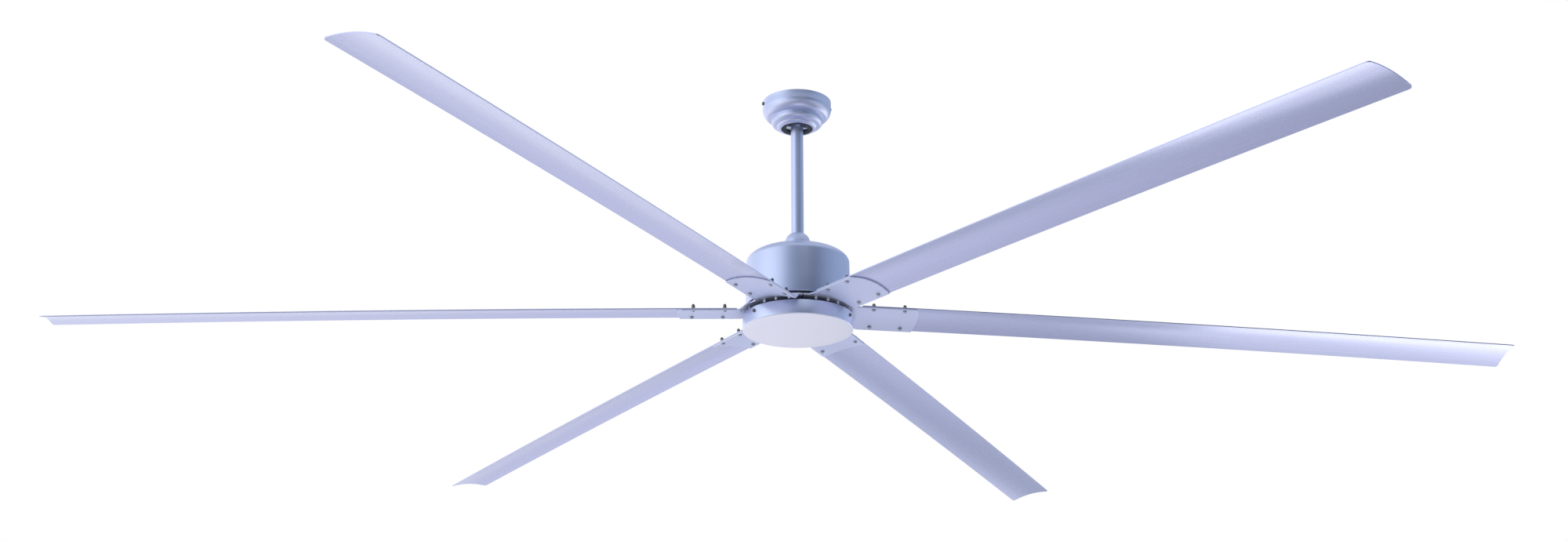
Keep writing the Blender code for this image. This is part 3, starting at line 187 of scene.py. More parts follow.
def node_group(name, inputs, outputs):
    """An empty shader group with named sockets; returns the group and its two ends."""
    group = bpy.data.node_groups.new(name, "ShaderNodeTree")
    for label, kind, default in inputs:
        socket = group.interface.new_socket(name=label, in_out="INPUT", socket_type=kind)
        if default is not None:
            socket.default_value = default
    for label, kind in outputs:
        group.interface.new_socket(name=label, in_out="OUTPUT", socket_type=kind)
    start = group.nodes.new("NodeGroupInput")
    end = group.nodes.new("NodeGroupOutput")
    return group, start, end


def add_node(tree, kind, **settings):
    """A node with its settings; names that are sockets are set as inputs."""
    node = tree.nodes.new(kind)
    for key, value in settings.items():
        if hasattr(node, key):
            setattr(node, key, value)
        else:
            node.inputs[key.replace("_", " ").title()].default_value = value
    return node


def link_nodes(tree, *routes):
    """Links sockets; a route is a node, its output, the next node and its input."""
    for source, output, target, entry in routes:
        tree.links.new(source.outputs[output], target.inputs[entry])


def make_satin_group():
    """Sprayed metallic paint: fine flecks, orange peel and faint large patches."""
    group, start, end = node_group(
        "Satin Paint",
        [("Vector", "NodeSocketVector", None), ("Colour", "NodeSocketColor", (0.7, 0.7, 0.8, 1)),
         ("Shade", "NodeSocketColor", (0.6, 0.6, 0.7, 1)), ("Roughness", "NodeSocketFloat", 0.3)],
        SURFACE_OUTPUTS)
    fleck = add_node(group, "ShaderNodeTexNoise", scale=2600.0, detail=1.0)
    patch = add_node(group, "ShaderNodeTexNoise", scale=9.0, detail=4.0)
    peel = add_node(group, "ShaderNodeTexNoise", scale=420.0, detail=2.0)
    spread = add_node(group, "ShaderNodeMapRange", from_min=0.35, from_max=0.75, to_max=0.55)
    tone = add_node(group, "ShaderNodeMix", data_type="RGBA")
    drift = add_node(group, "ShaderNodeMath", operation="MULTIPLY_ADD")
    drift.inputs[1].default_value = 0.08
    link_nodes(
        group, (start, "Vector", fleck, "Vector"), (start, "Vector", patch, "Vector"),
        (start, "Vector", peel, "Vector"), (fleck, "Fac", spread, "Value"),
        (spread, "Result", tone, "Factor"), (start, "Colour", tone, "A"),
        (start, "Shade", tone, "B"), (tone, "Result", end, "Colour"),
        (patch, "Fac", drift, 0), (start, "Roughness", drift, 2),
        (drift, "Value", end, "Roughness"), (peel, "Fac", end, "Height"))
    return group


def make_grain_group():
    """Lines drawn along one direction, as on brushed, rolled or stacked metal."""
    group, start, end = node_group(
        "Drawn Grain",
        [("Vector", "NodeSocketVector", None), ("Stretch", "NodeSocketVector", (1, 1, 1)),
         ("Colour", "NodeSocketColor", (0.7, 0.7, 0.7, 1)),
         ("Shade", "NodeSocketColor", (0.5, 0.5, 0.5, 1)),
         ("Roughness", "NodeSocketFloat", 0.3), ("Spread", "NodeSocketFloat", 0.15)],
        SURFACE_OUTPUTS)
    scale = add_node(group, "ShaderNodeVectorMath", operation="MULTIPLY")
    lines = add_node(group, "ShaderNodeTexNoise", scale=1.0, detail=3.0)
    tone = add_node(group, "ShaderNodeMix", data_type="RGBA")
    rough = add_node(group, "ShaderNodeMath", operation="MULTIPLY_ADD")
    link_nodes(
        group, (start, "Vector", scale, 0), (start, "Stretch", scale, 1),
        (scale, "Vector", lines, "Vector"), (lines, "Fac", tone, "Factor"),
        (start, "Colour", tone, "A"), (start, "Shade", tone, "B"),
        (tone, "Result", end, "Colour"), (lines, "Fac", rough, 0),
        (start, "Spread", rough, 1), (start, "Roughness", rough, 2),
        (rough, "Value", end, "Roughness"), (lines, "Fac", end, "Height"))
    return group


def shared_group(name, maker):
    """The node group of that name, built the first time it is asked for."""
    return bpy.data.node_groups.get(name) or maker()


def color_ramp(tree, stops):
    """A ramp over a span of metres or degrees: the node that takes the value, and the ramp."""
    low, high = stops[0][0], stops[-1][0]
    share = add_node(tree, "ShaderNodeMapRange", from_min=low, from_max=high)
    ramp = add_node(tree, "ShaderNodeValToRGB")
    elements = ramp.color_ramp.elements
    while len(elements) < len(stops):
        elements.new(0.5)
    for element, (place, colour) in zip(elements, stops):
        element.position = (place - low) / (high - low)
        element.color = (*colour, 1)
    link_nodes(tree, (share, "Result", ramp, "Fac"))
    return share, ramp


def finish_colour(given):
    """A colour of the finish table with its alpha."""
    if len(given) == 3:
        return (*given, 1.0)
    name, factor = given
    colour = getattr(bpy.context.scene.fan_finishes, name)
    return (*(channel * factor for channel in colour), 1.0)


def finish_material(name):
    """The material of a finish, built the first time it is asked for."""
    finish = FINISHES[name]
    material = bpy.data.materials.get(finish.material)
    if material:
        return material
    material = bpy.data.materials.new(finish.material)
    material.use_nodes = True
    tree = material.node_tree
    shader = tree.nodes["Principled BSDF"]
    shader.inputs["Metallic"].default_value = finish.metallic
    place = add_node(tree, "ShaderNodeTexCoord")
    effect = add_node(tree, "ShaderNodeGroup")
    if finish.stretch:
        effect.node_tree = shared_group("Drawn Grain", make_grain_group)
        effect.inputs["Stretch"].default_value = finish.stretch
        effect.inputs["Spread"].default_value = finish.spread
    else:
        effect.node_tree = shared_group("Satin Paint", make_satin_group)
    effect.inputs["Colour"].default_value = finish_colour(finish.colour)
    effect.inputs["Shade"].default_value = finish_colour(finish.shade)
    effect.inputs["Roughness"].default_value = finish.roughness
    lift = add_node(tree, "ShaderNodeBump", strength=finish.bump, distance=finish.bump_depth)
    link_nodes(
        tree, (place, finish.coordinates, effect, "Vector"),
        (effect, "Colour", shader, "Base Color"), (effect, "Roughness", shader, "Roughness"),
        (effect, "Height", lift, "Height"), (lift, "Normal", shader, "Normal"))
    return material


# Mesh helpers


def add_piece(name, bm, body, finish, replaces=(), sharp=40):
    """Turns a bmesh into a finished piece that rides on a body."""
    mesh = bpy.data.meshes.new(name)
    bm.to_mesh(mesh)
    bm.free()
    mesh.shade_smooth()
    mesh.set_sharp_from_angle(angle=math.radians(sharp))
    piece = bpy.data.objects.new(name, mesh)
    bpy.context.scene.collection.objects.link(piece)
    mesh.materials.append(finish_material(finish))
    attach(piece, body)
    if replaces:
        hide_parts(*replaces)
    return piece


def dress_node(node, finish):
    """Gives a solid of the frame its finish."""
    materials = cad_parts[node].data.materials
    material = finish_material(finish)
    if not materials:
        materials.append(material)
    for index in range(len(materials)):
        materials[index] = material


def arc(centre, radii, start, end, count):
    """Points of an elliptical arc in a profile, angles in degrees."""
    angles = [math.radians(start + (end - start) * k / count) for k in range(count + 1)]
    return [(centre[0] + radii[0] * math.cos(a), centre[1] + radii[1] * math.sin(a))
            for a in angles]


def inner_side(profile, wall):
    """The profile moved inwards by the wall, in the opposite order; a sharp corner is cut short."""
    sharpest = 0.4
    last = len(profile) - 1
    inner = []
    for index, point in enumerate(profile):
        before = Vector(profile[max(index - 1, 0)])
        after = Vector(profile[min(index + 1, last)])
        here = Vector(point)
        one = (here - before).normalized() if index else (after - here).normalized()
        two = (after - here).normalized() if index < last else one
        along = (one + two).normalized()
        stretch = 1 / max(along.dot(one), sharpest)
        inner.append((max(point[0] + along.y * wall * stretch, 0.0),
                      point[1] - along.x * wall * stretch))
    return inner[::-1]


def spin(bm, profile, steps, closed=True):
    """Turns a profile once round the Z axis, merges its seam and turns the faces outwards."""
    verts = [bm.verts.new((radius, 0, height)) for radius, height in profile]
    pairs = list(zip(verts, verts[1:]))
    if closed:
        pairs.append((verts[-1], verts[0]))
    edges = [bm.edges.new(pair) for pair in pairs]
    bmesh.ops.spin(bm, geom=verts + edges, cent=(0, 0, 0), axis=(0, 0, 1), angle=math.tau,
                   steps=steps, use_merge=True, use_normal_flip=False, use_duplicate=False)
    bmesh.ops.remove_doubles(bm, verts=bm.verts, dist=MERGE_DISTANCE)
    bmesh.ops.recalc_face_normals(bm, faces=bm.faces)


def turned_mesh(profile, steps):
    """A bmesh of one turned solid."""
    bm = bmesh.new()
    spin(bm, profile, steps)
    return bm


def shell_mesh(profile, wall, steps):
    """A bmesh of one turned shell."""
    return turned_mesh(profile + inner_side(profile, wall), steps)


def lowered(profile):
    """A profile measured from the hub plane, at its height in the frame."""
    return [(radius, height + HUB_LEVEL) for radius, height in profile]


def merge_in(bm, part, matrix):
    """Adds a placed copy of a small bmesh to a larger one."""
    mesh = bpy.data.meshes.new("part")
    part.to_mesh(mesh)
    mesh.transform(matrix)
    bm.from_mesh(mesh)
    bpy.data.meshes.remove(mesh)


def blade_turn(index):
    """Turns what is drawn for the blade along +X to the blade of that index."""
    return Matrix.Rotation(math.tau * index / BLADE_COUNT, 4, "Z")


def outward_matrix(angle, height):
    """Turns a part drawn along +Z so that it points outwards from the fan's axis."""
    return (Matrix.Rotation(angle, 4, "Z") @ Matrix.Translation((0, 0, height))
            @ Matrix.Rotation(math.pi / 2, 4, "Y"))


# Screws and bolts. The curve of a pan head is given in shares of its radius and height.


Screw = namedtuple("Screw", "radius height socket_radius socket_depth shank_radius shank_length")

CANOPY_SCREW = Screw(0.0040, 0.0026, 0.0014, 0.0012, 0.0017, 0.0070)
HUB_SCREW = Screw(0.0029, 0.0060, 0.0014, 0.0020, 0.0016, 0.0010)
CAP_SCREW = Screw(0.0038, 0.0022, 0.0014, 0.0010, 0.0017, 0.0046)
PAN_CURVE = ((1.0, 0.0), (1.0, 0.72 * 0.55), (0.93, 0.72), (0.72, 0.93))
SOCKET_TAPER = 0.98

CANOPY_SCREW_LEVEL = -0.00815
CANOPY_SCREW_ANGLES = [math.radians(7.7) + turn for turn in (math.pi, 0.0)]
CAP_SCREW_LEVEL = HUB_LEVEL - 0.0125
CAP_SCREW_ANGLES = [math.radians(93.7) + math.tau * index / 3 for index in range(3)]
HUB_SCREW_CIRCLE = 0.1065
HUB_SCREW_STEP = math.radians(15.0)
HUB_SCREW_SEAT = 0.0069

BOLT_REACHES = (0.1555, 0.2205)
BOLT_OFFSET = 0.0400
BOLT_HEAD_SEAT = -0.0037
BOLT_HEAD_RADIUS = 0.0038
BOLT_HEAD_DEPTH = 0.0026
NUT_SEAT = 0.0023
NUT_RADIUS = 0.0041
NUT_DEPTH = 0.0040
DOME_RADIUS = 0.0034
WASHER_RADIUS = 0.0046
WASHER_DEPTH = 0.0003
HEXAGON_BEVEL = 0.0003


def screw_head(screw):
    """A pan head with a round socket and its shank, the head's seat at Z zero."""
    socket_level = screw.height - screw.socket_depth
    profile = [(0, -screw.shank_length), (screw.shank_radius, -screw.shank_length),
               (screw.shank_radius, 0)]
    profile += [(screw.radius * out, screw.height * up) for out, up in PAN_CURVE]
    profile += [(screw.socket_radius, screw.height),
                (screw.socket_radius * SOCKET_TAPER, socket_level), (0, socket_level)]
    bm = bmesh.new()
    spin(bm, profile, SMALL_STEPS, closed=False)
    return bm


def add_side_screws(name, screw, radius, level, angles, body):
    """Adds the screws in a shell's side, each as a piece of its own."""
    head = screw_head(screw)
    for index, angle in enumerate(angles):
        bm = bmesh.new()
        merge_in(bm, head, outward_matrix(angle, level)
                 @ Matrix.Translation((0, 0, radius + FIT_GAP)))
        add_piece(f"{name}_head_{index + 1}", bm, body, "dark nut",
                  [f"{name}_{index + 1}"])
    head.free()


def hexagon_mesh(radius, depth, middle):
    """A bmesh of a bevelled hexagon, its middle at a height."""
    bm = bmesh.new()
    bmesh.ops.create_cone(bm, cap_ends=True, segments=6, radius1=radius, radius2=radius,
                          depth=depth, matrix=Matrix.Translation((0, 0, middle)))
    bmesh.ops.bevel(bm, geom=bm.edges, offset=HEXAGON_BEVEL, segments=2, profile=0.5,
                    affect="EDGES", material=-1)
    return bm


def add_washer(bm, start, end):
    """Adds a washer between two heights."""
    spin(bm, [(0, start), (WASHER_RADIUS, start), (WASHER_RADIUS, end), (0, end)], SMALL_STEPS,
         closed=False)


def bolt_head_mesh():
    """A bmesh of a hexagon head under its washer."""
    bm = hexagon_mesh(BOLT_HEAD_RADIUS, BOLT_HEAD_DEPTH,
                      BOLT_HEAD_SEAT - BOLT_HEAD_DEPTH / 2 - WASHER_DEPTH)
    add_washer(bm, BOLT_HEAD_SEAT, BOLT_HEAD_SEAT - WASHER_DEPTH)
    return bm


def nut_mesh():
    """A bmesh of a domed nut on its washer."""
    bm = hexagon_mesh(NUT_RADIUS, NUT_DEPTH, NUT_SEAT + WASHER_DEPTH + NUT_DEPTH / 2)
    dome = arc((0, 0.0070), (DOME_RADIUS, 0.0032), 80, 0, 6)
    spin(bm, [(0, 0.0102)] + dome + [(DOME_RADIUS, 0.0060)], SMALL_STEPS, closed=False)
    add_washer(bm, NUT_SEAT, NUT_SEAT + WASHER_DEPTH)
    return bm


def bolt_spots():
    """Reach and place across the chord of a blade's four bolts."""
    return [(reach, side * BOLT_OFFSET) for reach in BOLT_REACHES for side in (-1, 1)]


# Blade and iron surfaces, as the frame's solids have them


BLADE_OFFSET = 0.0038
BLADE_CROWN = 0.0065
BLADE_THICKNESS = 0.0020
BLADE_HALF = 0.0502
BLADE_CORNER = 0.0070
BLADE_ROWS = 24
CORNER_STEPS = 6
LEVEL_REACH = 0.2000
DROOP = math.radians(1.656)
SAG_AT_TIP = 0.0123
PITCHES = (math.radians(8.7), math.radians(9.3))
SURFACE_STEP = 0.0020

IRON_THICKNESS = 0.0030
FLANGE_RADIUS = 0.1165
FLANGE_RIM = 0.0060
FLANGE_TOP = 0.0100
IRON_BORE = 0.0600
IRON_SEAM = 0.0015
IRON_END = 0.2525
IRON_END_BOW = 0.0075
BEND_RUNS = (0.0060, 0.0130)
BEND_STEPS = 8
PADDLE_STEPS = 10


def blade_underside(sizes, reach, across):
    """Point of a blade's underside, for a blade along +X, across towards its low edge."""
    along = (reach - sizes.blade_root) / (sizes.blade_tip - sizes.blade_root)
    pitch = PITCHES[0] + (PITCHES[1] - PITCHES[0]) * along
    beyond = reach - LEVEL_REACH
    sag = SAG_AT_TIP * (beyond / (sizes.blade_tip - LEVEL_REACH)) ** 2
    drop = math.tan(DROOP) * beyond + sag
    share = abs(across) / (sizes.blade_chord / 2)
    above = BLADE_CROWN * (1 - share ** 2) - BLADE_THICKNESS / 2
    return Vector((reach, BLADE_OFFSET + across * math.cos(pitch) + above * math.sin(pitch),
                   HUB_LEVEL - drop - across * math.sin(pitch) + above * math.cos(pitch)))


def surface_frame(sizes, reach, across):
    """Matrix at a spot of the blade's underside, with Z square to the sheet."""
    origin = blade_underside(sizes, reach, across)
    along = blade_underside(sizes, reach + SURFACE_STEP, across) - origin
    sideways = (blade_underside(sizes, reach, across + SURFACE_STEP)
                - blade_underside(sizes, reach, across - SURFACE_STEP))
    normal = along.cross(sideways).normalized()
    along.normalize()
    return (Matrix.Translation(origin)
            @ Matrix((along, normal.cross(along), normal)).transposed().to_4x4())


def chord_shares(sizes):
    """Places across a blade, as shares of its half width."""
    return [2 * k / sizes.chord_lines - 1 for k in range(sizes.chord_lines + 1)]


def sheet_mesh(rows, columns, spot):
    """An open sheet on a grid with a UV map in metres; a place of None is left out."""
    bm = bmesh.new()
    bmesh.ops.create_grid(bm, x_segments=len(rows) - 1, y_segments=len(columns) - 1, size=1)
    layer = bm.loops.layers.uv.new("UVMap")
    sides = {}
    left_out = []
    for vertex in bm.verts:
        sides[vertex] = vertex.co.y
        row = rows[round((vertex.co.x + 1) / 2 * (len(rows) - 1))]
        column = columns[round((vertex.co.y + 1) / 2 * (len(columns) - 1))]
        point = spot(row, column)
        if point is None:
            left_out.append(vertex)
        else:
            vertex.co = point
    for face in bm.faces:
        for loop in face.loops:
            at = loop.vert.co
            loop[layer].uv = (math.hypot(at.x, at.y), sides[loop.vert] * BLADE_HALF)
    bmesh.ops.delete(bm, geom=left_out, context="VERTS")
    return bm


def flange_point(sizes, radius, share, wing):
    """Point of an iron's flat sector, in line with the arm or, on a wing, at the seam."""
    if wing:
        angle = wing * (math.pi / BLADE_COUNT - math.asin(IRON_SEAM / 2 / radius))
    else:
        angle = math.asin((BLADE_OFFSET + share * sizes.blade_chord / 2) / FLANGE_RADIUS)
    return Vector((radius * math.cos(angle), radius * math.sin(angle), HUB_LEVEL + FLANGE_TOP))


def paddle_point(sizes, along, share):
    """Point of an iron's paddle under the blade, from its bend to its bowed end."""
    start = FLANGE_RADIUS + BEND_RUNS[0] + (BEND_RUNS[1] - BEND_RUNS[0]) * (share + 1) / 2
    end = IRON_END - IRON_END_BOW * share ** 2
    point = blade_underside(sizes, start + (end - start) * along, share * sizes.blade_chord / 2)
    return point - Vector((0, 0, FIT_GAP))


def iron_point(sizes, row, column):
    """Point of an iron's top face; the rows run from the sector over the bend to the paddle."""
    part, along = row
    share, wing = column
    if part == "sector":
        return flange_point(sizes, along, share, wing)
    if wing:
        return None
    if part == "paddle":
        return paddle_point(sizes, along, share)
    inner = flange_point(sizes, FLANGE_RADIUS, share, 0)
    outer = paddle_point(sizes, 0, share)
    point = inner.lerp(outer, along)
    point.z = inner.z + (outer.z - inner.z) * along * along * (3 - 2 * along)
    return point


def add_sheet_finish(piece, thickness, offset, rounding):
    """Gives an open sheet its thickness and softly rounded edges."""
    sheet = piece.modifiers.new("Sheet", "SOLIDIFY")
    sheet.thickness = thickness
    sheet.offset = offset
    sheet.use_even_offset = True
    soft = piece.modifiers.new("Soft edge", "BEVEL")
    soft.width = rounding
    soft.segments = 2
    soft.limit_method = "ANGLE"
    soft.angle_limit = math.radians(50)
    soft.harden_normals = True


# Turned shapes, as radius and height. Those below the rod are measured from the hub plane.


SHELL_WALL = 0.0012
HOUSING_WALL = 0.0015
ROD_WALL = 0.0026
ROD_STEPS = 64
BELL_STEPS = 96
CUT_EDGE = 0.0005
CAP_BOTTOM = -0.0335
CAP_FLOOR = -0.0320
CAP_CORNER = 0.0022

RING_PROFILE = [
    (0.0235, -0.0565), (0.0240, -0.0560), (0.0366, -0.0560), (0.0371, -0.0565),
    (0.0371, -0.0572), (0.0331, -0.0578), (0.0331, -0.0606), (0.0326, -0.0612),
    (0.0260, -0.0614), (0.0240, -0.0606), (0.0235, -0.0600)]
BELL_PROFILE = [
    (0.0148, 0.1812), (0.0151, 0.1818), (0.0158, 0.1818), (0.0188, 0.1798), (0.0214, 0.1772),
    (0.0230, 0.1752), (0.0249, 0.1713), (0.0263, 0.1670), (0.0274, 0.1620), (0.0280, 0.1580),
    (0.0283, 0.1520), (0.0284, 0.1460), (0.0284, 0.1454)]


def canopy_profile(radius):
    """The canopy's outside from its band over the two bulges to its mouth."""
    band = [(radius, -0.0008), (radius - 0.0003, -0.0130), (radius, -0.0140), (radius, -0.0146),
            (radius - 0.0005, -0.0155)]
    upper_bulge = arc((radius - 0.0202, -0.0165), (0.0202, 0.0230), 0, -64, 14)
    groove = arc((0.0577, -0.0388), (0.0032, 0.0018), 130, 230, 5)
    lower_bulge = arc((0.0440, -0.0455), (0.0116, 0.0095), 14, -76, 12)
    mouth = [(0.0435, -0.0558), (0.0425, -0.0578), (0.0400, -0.0600), (0.0370, -0.0611),
             (0.0340, -0.0615)]
    return band + upper_bulge + groove + lower_bulge + mouth


def rod_profile(radius, low, high):
    """The downrod's tube with its outer edges broken."""
    bore = radius - ROD_WALL
    return [(bore, high), (radius - CUT_EDGE, high), (radius, high - CUT_EDGE),
            (radius, low + CUT_EDGE), (radius - CUT_EDGE, low), (bore, low)]


def housing_profile(radius):
    """The housing's outside from its neck over the shoulder to its rolled lower edge."""
    shoulder = arc((radius - 0.0790, 0.1150), (0.0786, 0.0300), 90, 0, 28)
    side = [(radius - 0.0002, 0.0850), (radius, 0.0550), (radius, 0.0200),
            (radius - 0.0002, 0.0186), (radius - 0.0008, 0.0180)]
    return [(0.0184, 0.1450)] + shoulder + side


def cap_profile(radius):
    """The cap's outside from its rim to its middle, then its inside back to the rim."""
    corner = arc((radius - CAP_CORNER, CAP_BOTTOM + CAP_CORNER), (CAP_CORNER, CAP_CORNER),
                 0, -90, 8)
    outside = [(radius - 0.0004, -0.0030), (radius, -0.0036)] + corner
    outside += [(0.0900, CAP_BOTTOM), (0.0500, CAP_BOTTOM), (0, CAP_BOTTOM)]
    inside = [(0, CAP_FLOOR), (radius - 0.0032, CAP_FLOOR), (radius - 0.0015, -0.0300),
              (radius - 0.0015, -0.0034), (radius - 0.0011, -0.0030)]
    return outside + inside


# Operators, one for each group of pieces


class FAN_OT_add_hanger(bpy.types.Operator):
    """Finish the hidden bracket, ball and pins"""

    bl_idname = "fan.add_hanger"
    bl_label = "Hanger"

    def execute(self, context):
        finishes = {"hanger_bracket": "zinc", "ball_pin": "zinc", "clevis_pin": "zinc",
                    "hanger_ball": "rubber", "motor_yoke": "cast aluminium"}
        for node, finish in finishes.items():
            dress_node(node, finish)
        return {"FINISHED"}


class FAN_OT_add_canopy(bpy.types.Operator):
    """Add the spun canopy, the ring in its mouth and its two screws"""

    bl_idname = "fan.add_canopy"
    bl_label = "Canopy"

    def execute(self, context):
        sizes = context.scene.fan_sizes
        radius = sizes.canopy_radius
        bm = shell_mesh(canopy_profile(radius), SHELL_WALL, sizes.round_steps)
        add_piece("canopy_shell", bm, "ceiling", "body paint", ["canopy"])
        bm = turned_mesh(RING_PROFILE, sizes.round_steps)
        add_piece("mouth_ring_moulded", bm, "ceiling", "rubber", ["mouth_ring"])
        add_side_screws("canopy_screw", CANOPY_SCREW, radius, CANOPY_SCREW_LEVEL,
                        CANOPY_SCREW_ANGLES, "ceiling")
        return {"FINISHED"}


class FAN_OT_add_downrod(bpy.types.Operator):
    """Add the downrod and the bell over its coupling"""

    bl_idname = "fan.add_downrod"
    bl_label = "Downrod"

    def execute(self, context):
        low, high = (corner[2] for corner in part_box("downrod"))
        bm = turned_mesh(rod_profile(context.scene.fan_sizes.rod_radius, low, high), ROD_STEPS)
        add_piece("downrod_tube", bm, "drop", "body paint", ["downrod"])
        bm = shell_mesh(lowered(BELL_PROFILE), SHELL_WALL, BELL_STEPS)
        add_piece("coupling_bell", bm, "drop", "body paint", ["coupling_cover"])
        return {"FINISHED"}


class FAN_OT_add_housing(bpy.types.Operator):
    """Add the fixed motor housing with its rolled lower edge"""

    bl_idname = "fan.add_housing"
    bl_label = "Motor housing"

    def execute(self, context):
        sizes = context.scene.fan_sizes
        bm = shell_mesh(lowered(housing_profile(sizes.housing_radius)), HOUSING_WALL,
                        sizes.round_steps)
        add_piece("housing_shell", bm, "drop", "body paint", ["motor_housing"])
        return {"FINISHED"}


class FAN_OT_add_motor(bpy.types.Operator):
    """Finish the hidden motor: shaft, core, winding, bearings, magnet case and cap carrier"""

    bl_idname = "fan.add_motor"
    bl_label = "Motor"

    def execute(self, context):
        finishes = {"motor_shaft": "screw steel", "stator_core": "laminations",
                    "stator_winding": "copper", "upper_bearing": "screw steel",
                    "lower_bearing": "screw steel", "magnet_case": "cast aluminium",
                    "cap_carrier": "zinc"}
        for node, finish in finishes.items():
            dress_node(node, finish)
        return {"FINISHED"}


class FAN_OT_add_hub(bpy.types.Operator):
    """Finish the hub plate that carries the blade irons"""

    bl_idname = "fan.add_hub"
    bl_label = "Rotor hub"

    def execute(self, context):
        # Near black, which gives the dark band under the housing's edge.
        dress_node("rotor_hub", "black coat")
        return {"FINISHED"}


class FAN_OT_add_irons(bpy.types.Operator):
    """Add the six blade irons with their hub screws"""

    bl_idname = "fan.add_irons"
    bl_label = "Blade irons"

    def execute(self, context):
        sizes = context.scene.fan_sizes
        rows = [("sector", IRON_BORE), ("sector", FLANGE_RADIUS - FLANGE_RIM),
                ("sector", FLANGE_RADIUS)]
        rows += [("bend", k / BEND_STEPS) for k in range(1, BEND_STEPS)]
        rows += [("paddle", k / PADDLE_STEPS) for k in range(PADDLE_STEPS + 1)]
        columns = [(-1, -1)] + [(share, 0) for share in chord_shares(sizes)] + [(1, 1)]
        seat = (Matrix.Translation((HUB_SCREW_CIRCLE, 0, HUB_LEVEL + HUB_SCREW_SEAT))
                @ Matrix.Rotation(math.pi, 4, "X"))
        screw = screw_head(HUB_SCREW)
        for index in range(BLADE_COUNT):
            turn = blade_turn(index)
            bm = sheet_mesh(rows, columns, lambda row, column: iron_point(sizes, row, column))
            bmesh.ops.transform(bm, matrix=turn, verts=bm.verts)
            iron = add_piece(f"iron_plate_{index + 1}", bm, "rotor", "iron paint",
                             [f"blade_iron_{index + 1}"], sharp=180)
            add_sheet_finish(iron, IRON_THICKNESS, -1, sizes.edge_round)
            bm = bmesh.new()
            for step in (-1, 0, 1):
                aside = Matrix.Rotation(HUB_SCREW_STEP * step, 4, "Z")
                merge_in(bm, screw, turn @ aside @ seat)
            add_piece(f"iron_hub_screws_{index + 1}", bm, "rotor", "bright steel")
        screw.free()
        return {"FINISHED"}


class FAN_OT_add_blades(bpy.types.Operator):
    """Add the six pitched and crowned blades"""

    bl_idname = "fan.add_blades"
    bl_label = "Blades"

    def execute(self, context):
        sizes = context.scene.fan_sizes
        straight = sizes.blade_tip - BLADE_CORNER
        rows = [(sizes.blade_root + (straight - sizes.blade_root) * k / BLADE_ROWS, 0)
                for k in range(BLADE_ROWS)]
        for k in range(CORNER_STEPS + 1):
            angle = math.pi / 2 * k / CORNER_STEPS
            rows.append((straight + BLADE_CORNER * math.sin(angle),
                         BLADE_CORNER * (1 - math.cos(angle))))

        def spot(row, share):
            reach, inset = row
            return blade_underside(sizes, reach, share * (sizes.blade_chord / 2 - inset))

        for index in range(BLADE_COUNT):
            bm = sheet_mesh(rows, chord_shares(sizes), spot)
            bmesh.ops.transform(bm, matrix=blade_turn(index), verts=bm.verts)
            blade = add_piece(f"blade_sheet_{index + 1}", bm, "rotor",
                              "blade paint", [f"blade_{index + 1}"], sharp=180)
            add_sheet_finish(blade, BLADE_THICKNESS, 1, sizes.edge_round)
        return {"FINISHED"}


class FAN_OT_add_bolts(bpy.types.Operator):
    """Add the bolts through blades and irons, with washers and domed nuts"""

    bl_idname = "fan.add_bolts"
    bl_label = "Blade bolts"

    def execute(self, context):
        sizes = context.scene.fan_sizes
        head = bolt_head_mesh()
        nut = nut_mesh()
        for index in range(BLADE_COUNT):
            heads, nuts = bmesh.new(), bmesh.new()
            for reach, across in bolt_spots():
                matrix = blade_turn(index) @ surface_frame(sizes, reach, across)
                merge_in(heads, head, matrix)
                merge_in(nuts, nut, matrix)
            names = [f"blade_bolt_{index + 1}_{k}" for k in range(1, 5)]
            add_piece(f"bolt_heads_{index + 1}", heads, "rotor", "screw steel",
                      names)
            add_piece(f"bolt_nuts_{index + 1}", nuts, "rotor", "dark nut")
        head.free()
        nut.free()
        return {"FINISHED"}


class FAN_OT_add_cap(bpy.types.Operator):
    """Add the flat bottom cap and its side screws"""

    bl_idname = "fan.add_cap"
    bl_label = "Bottom cap"

    def execute(self, context):
        sizes = context.scene.fan_sizes
        radius = sizes.cap_radius
        bm = turned_mesh(lowered(cap_profile(radius)), sizes.round_steps)
        pan = add_piece("cap_pan", bm, "rotor", "cap side shaded copy", ["bottom_cap"])
        # Faces that look down take the lighter copy of the paint: painted light on the cap's
        # underside.
        pan.data.materials.append(finish_material("cap underside painted light"))
        for face in pan.data.polygons:
            if face.normal.z < -0.8:
                face.material_index = 1
        add_side_screws("cap_screw", CAP_SCREW, radius, CAP_SCREW_LEVEL, CAP_SCREW_ANGLES,
                        "rotor")
        return {"FINISHED"}


# Stage. The floor, the room and the lamps are set so that the paint mirrors what it does in
# the photo; the camera was solved from the photo.


FLOOR_LEVEL = -2.75
FLOOR_HALF = 12.0
FLOOR_PAPER = (0.86, 0.86, 0.87, 1)
FLOOR_CAMERA_SHARE = 0.80
FLOOR_CENTRE = (0.8, -3.3, FLOOR_LEVEL)

# Painted reflection: the floor's glow that only mirroring paint sees, by metres to the side
PAINTED_REFLECTION_SIDEWAYS = [
    (-6.0, (1.45, 1.42, 1.42)), (-4.0, (1.42, 1.38, 1.38)), (-2.0, (1.08, 1.09, 1.16)),
    (-0.5, (0.89, 0.89, 1.03)), (0.4, (0.90, 0.91, 1.06)), (1.2, (0.66, 0.70, 0.82)),
    (1.7, (0.42, 0.46, 0.57)), (2.3, (0.36, 0.40, 0.50)), (2.8, (0.95, 0.96, 1.06)),
    (6.0, (1.10, 1.10, 1.16))]

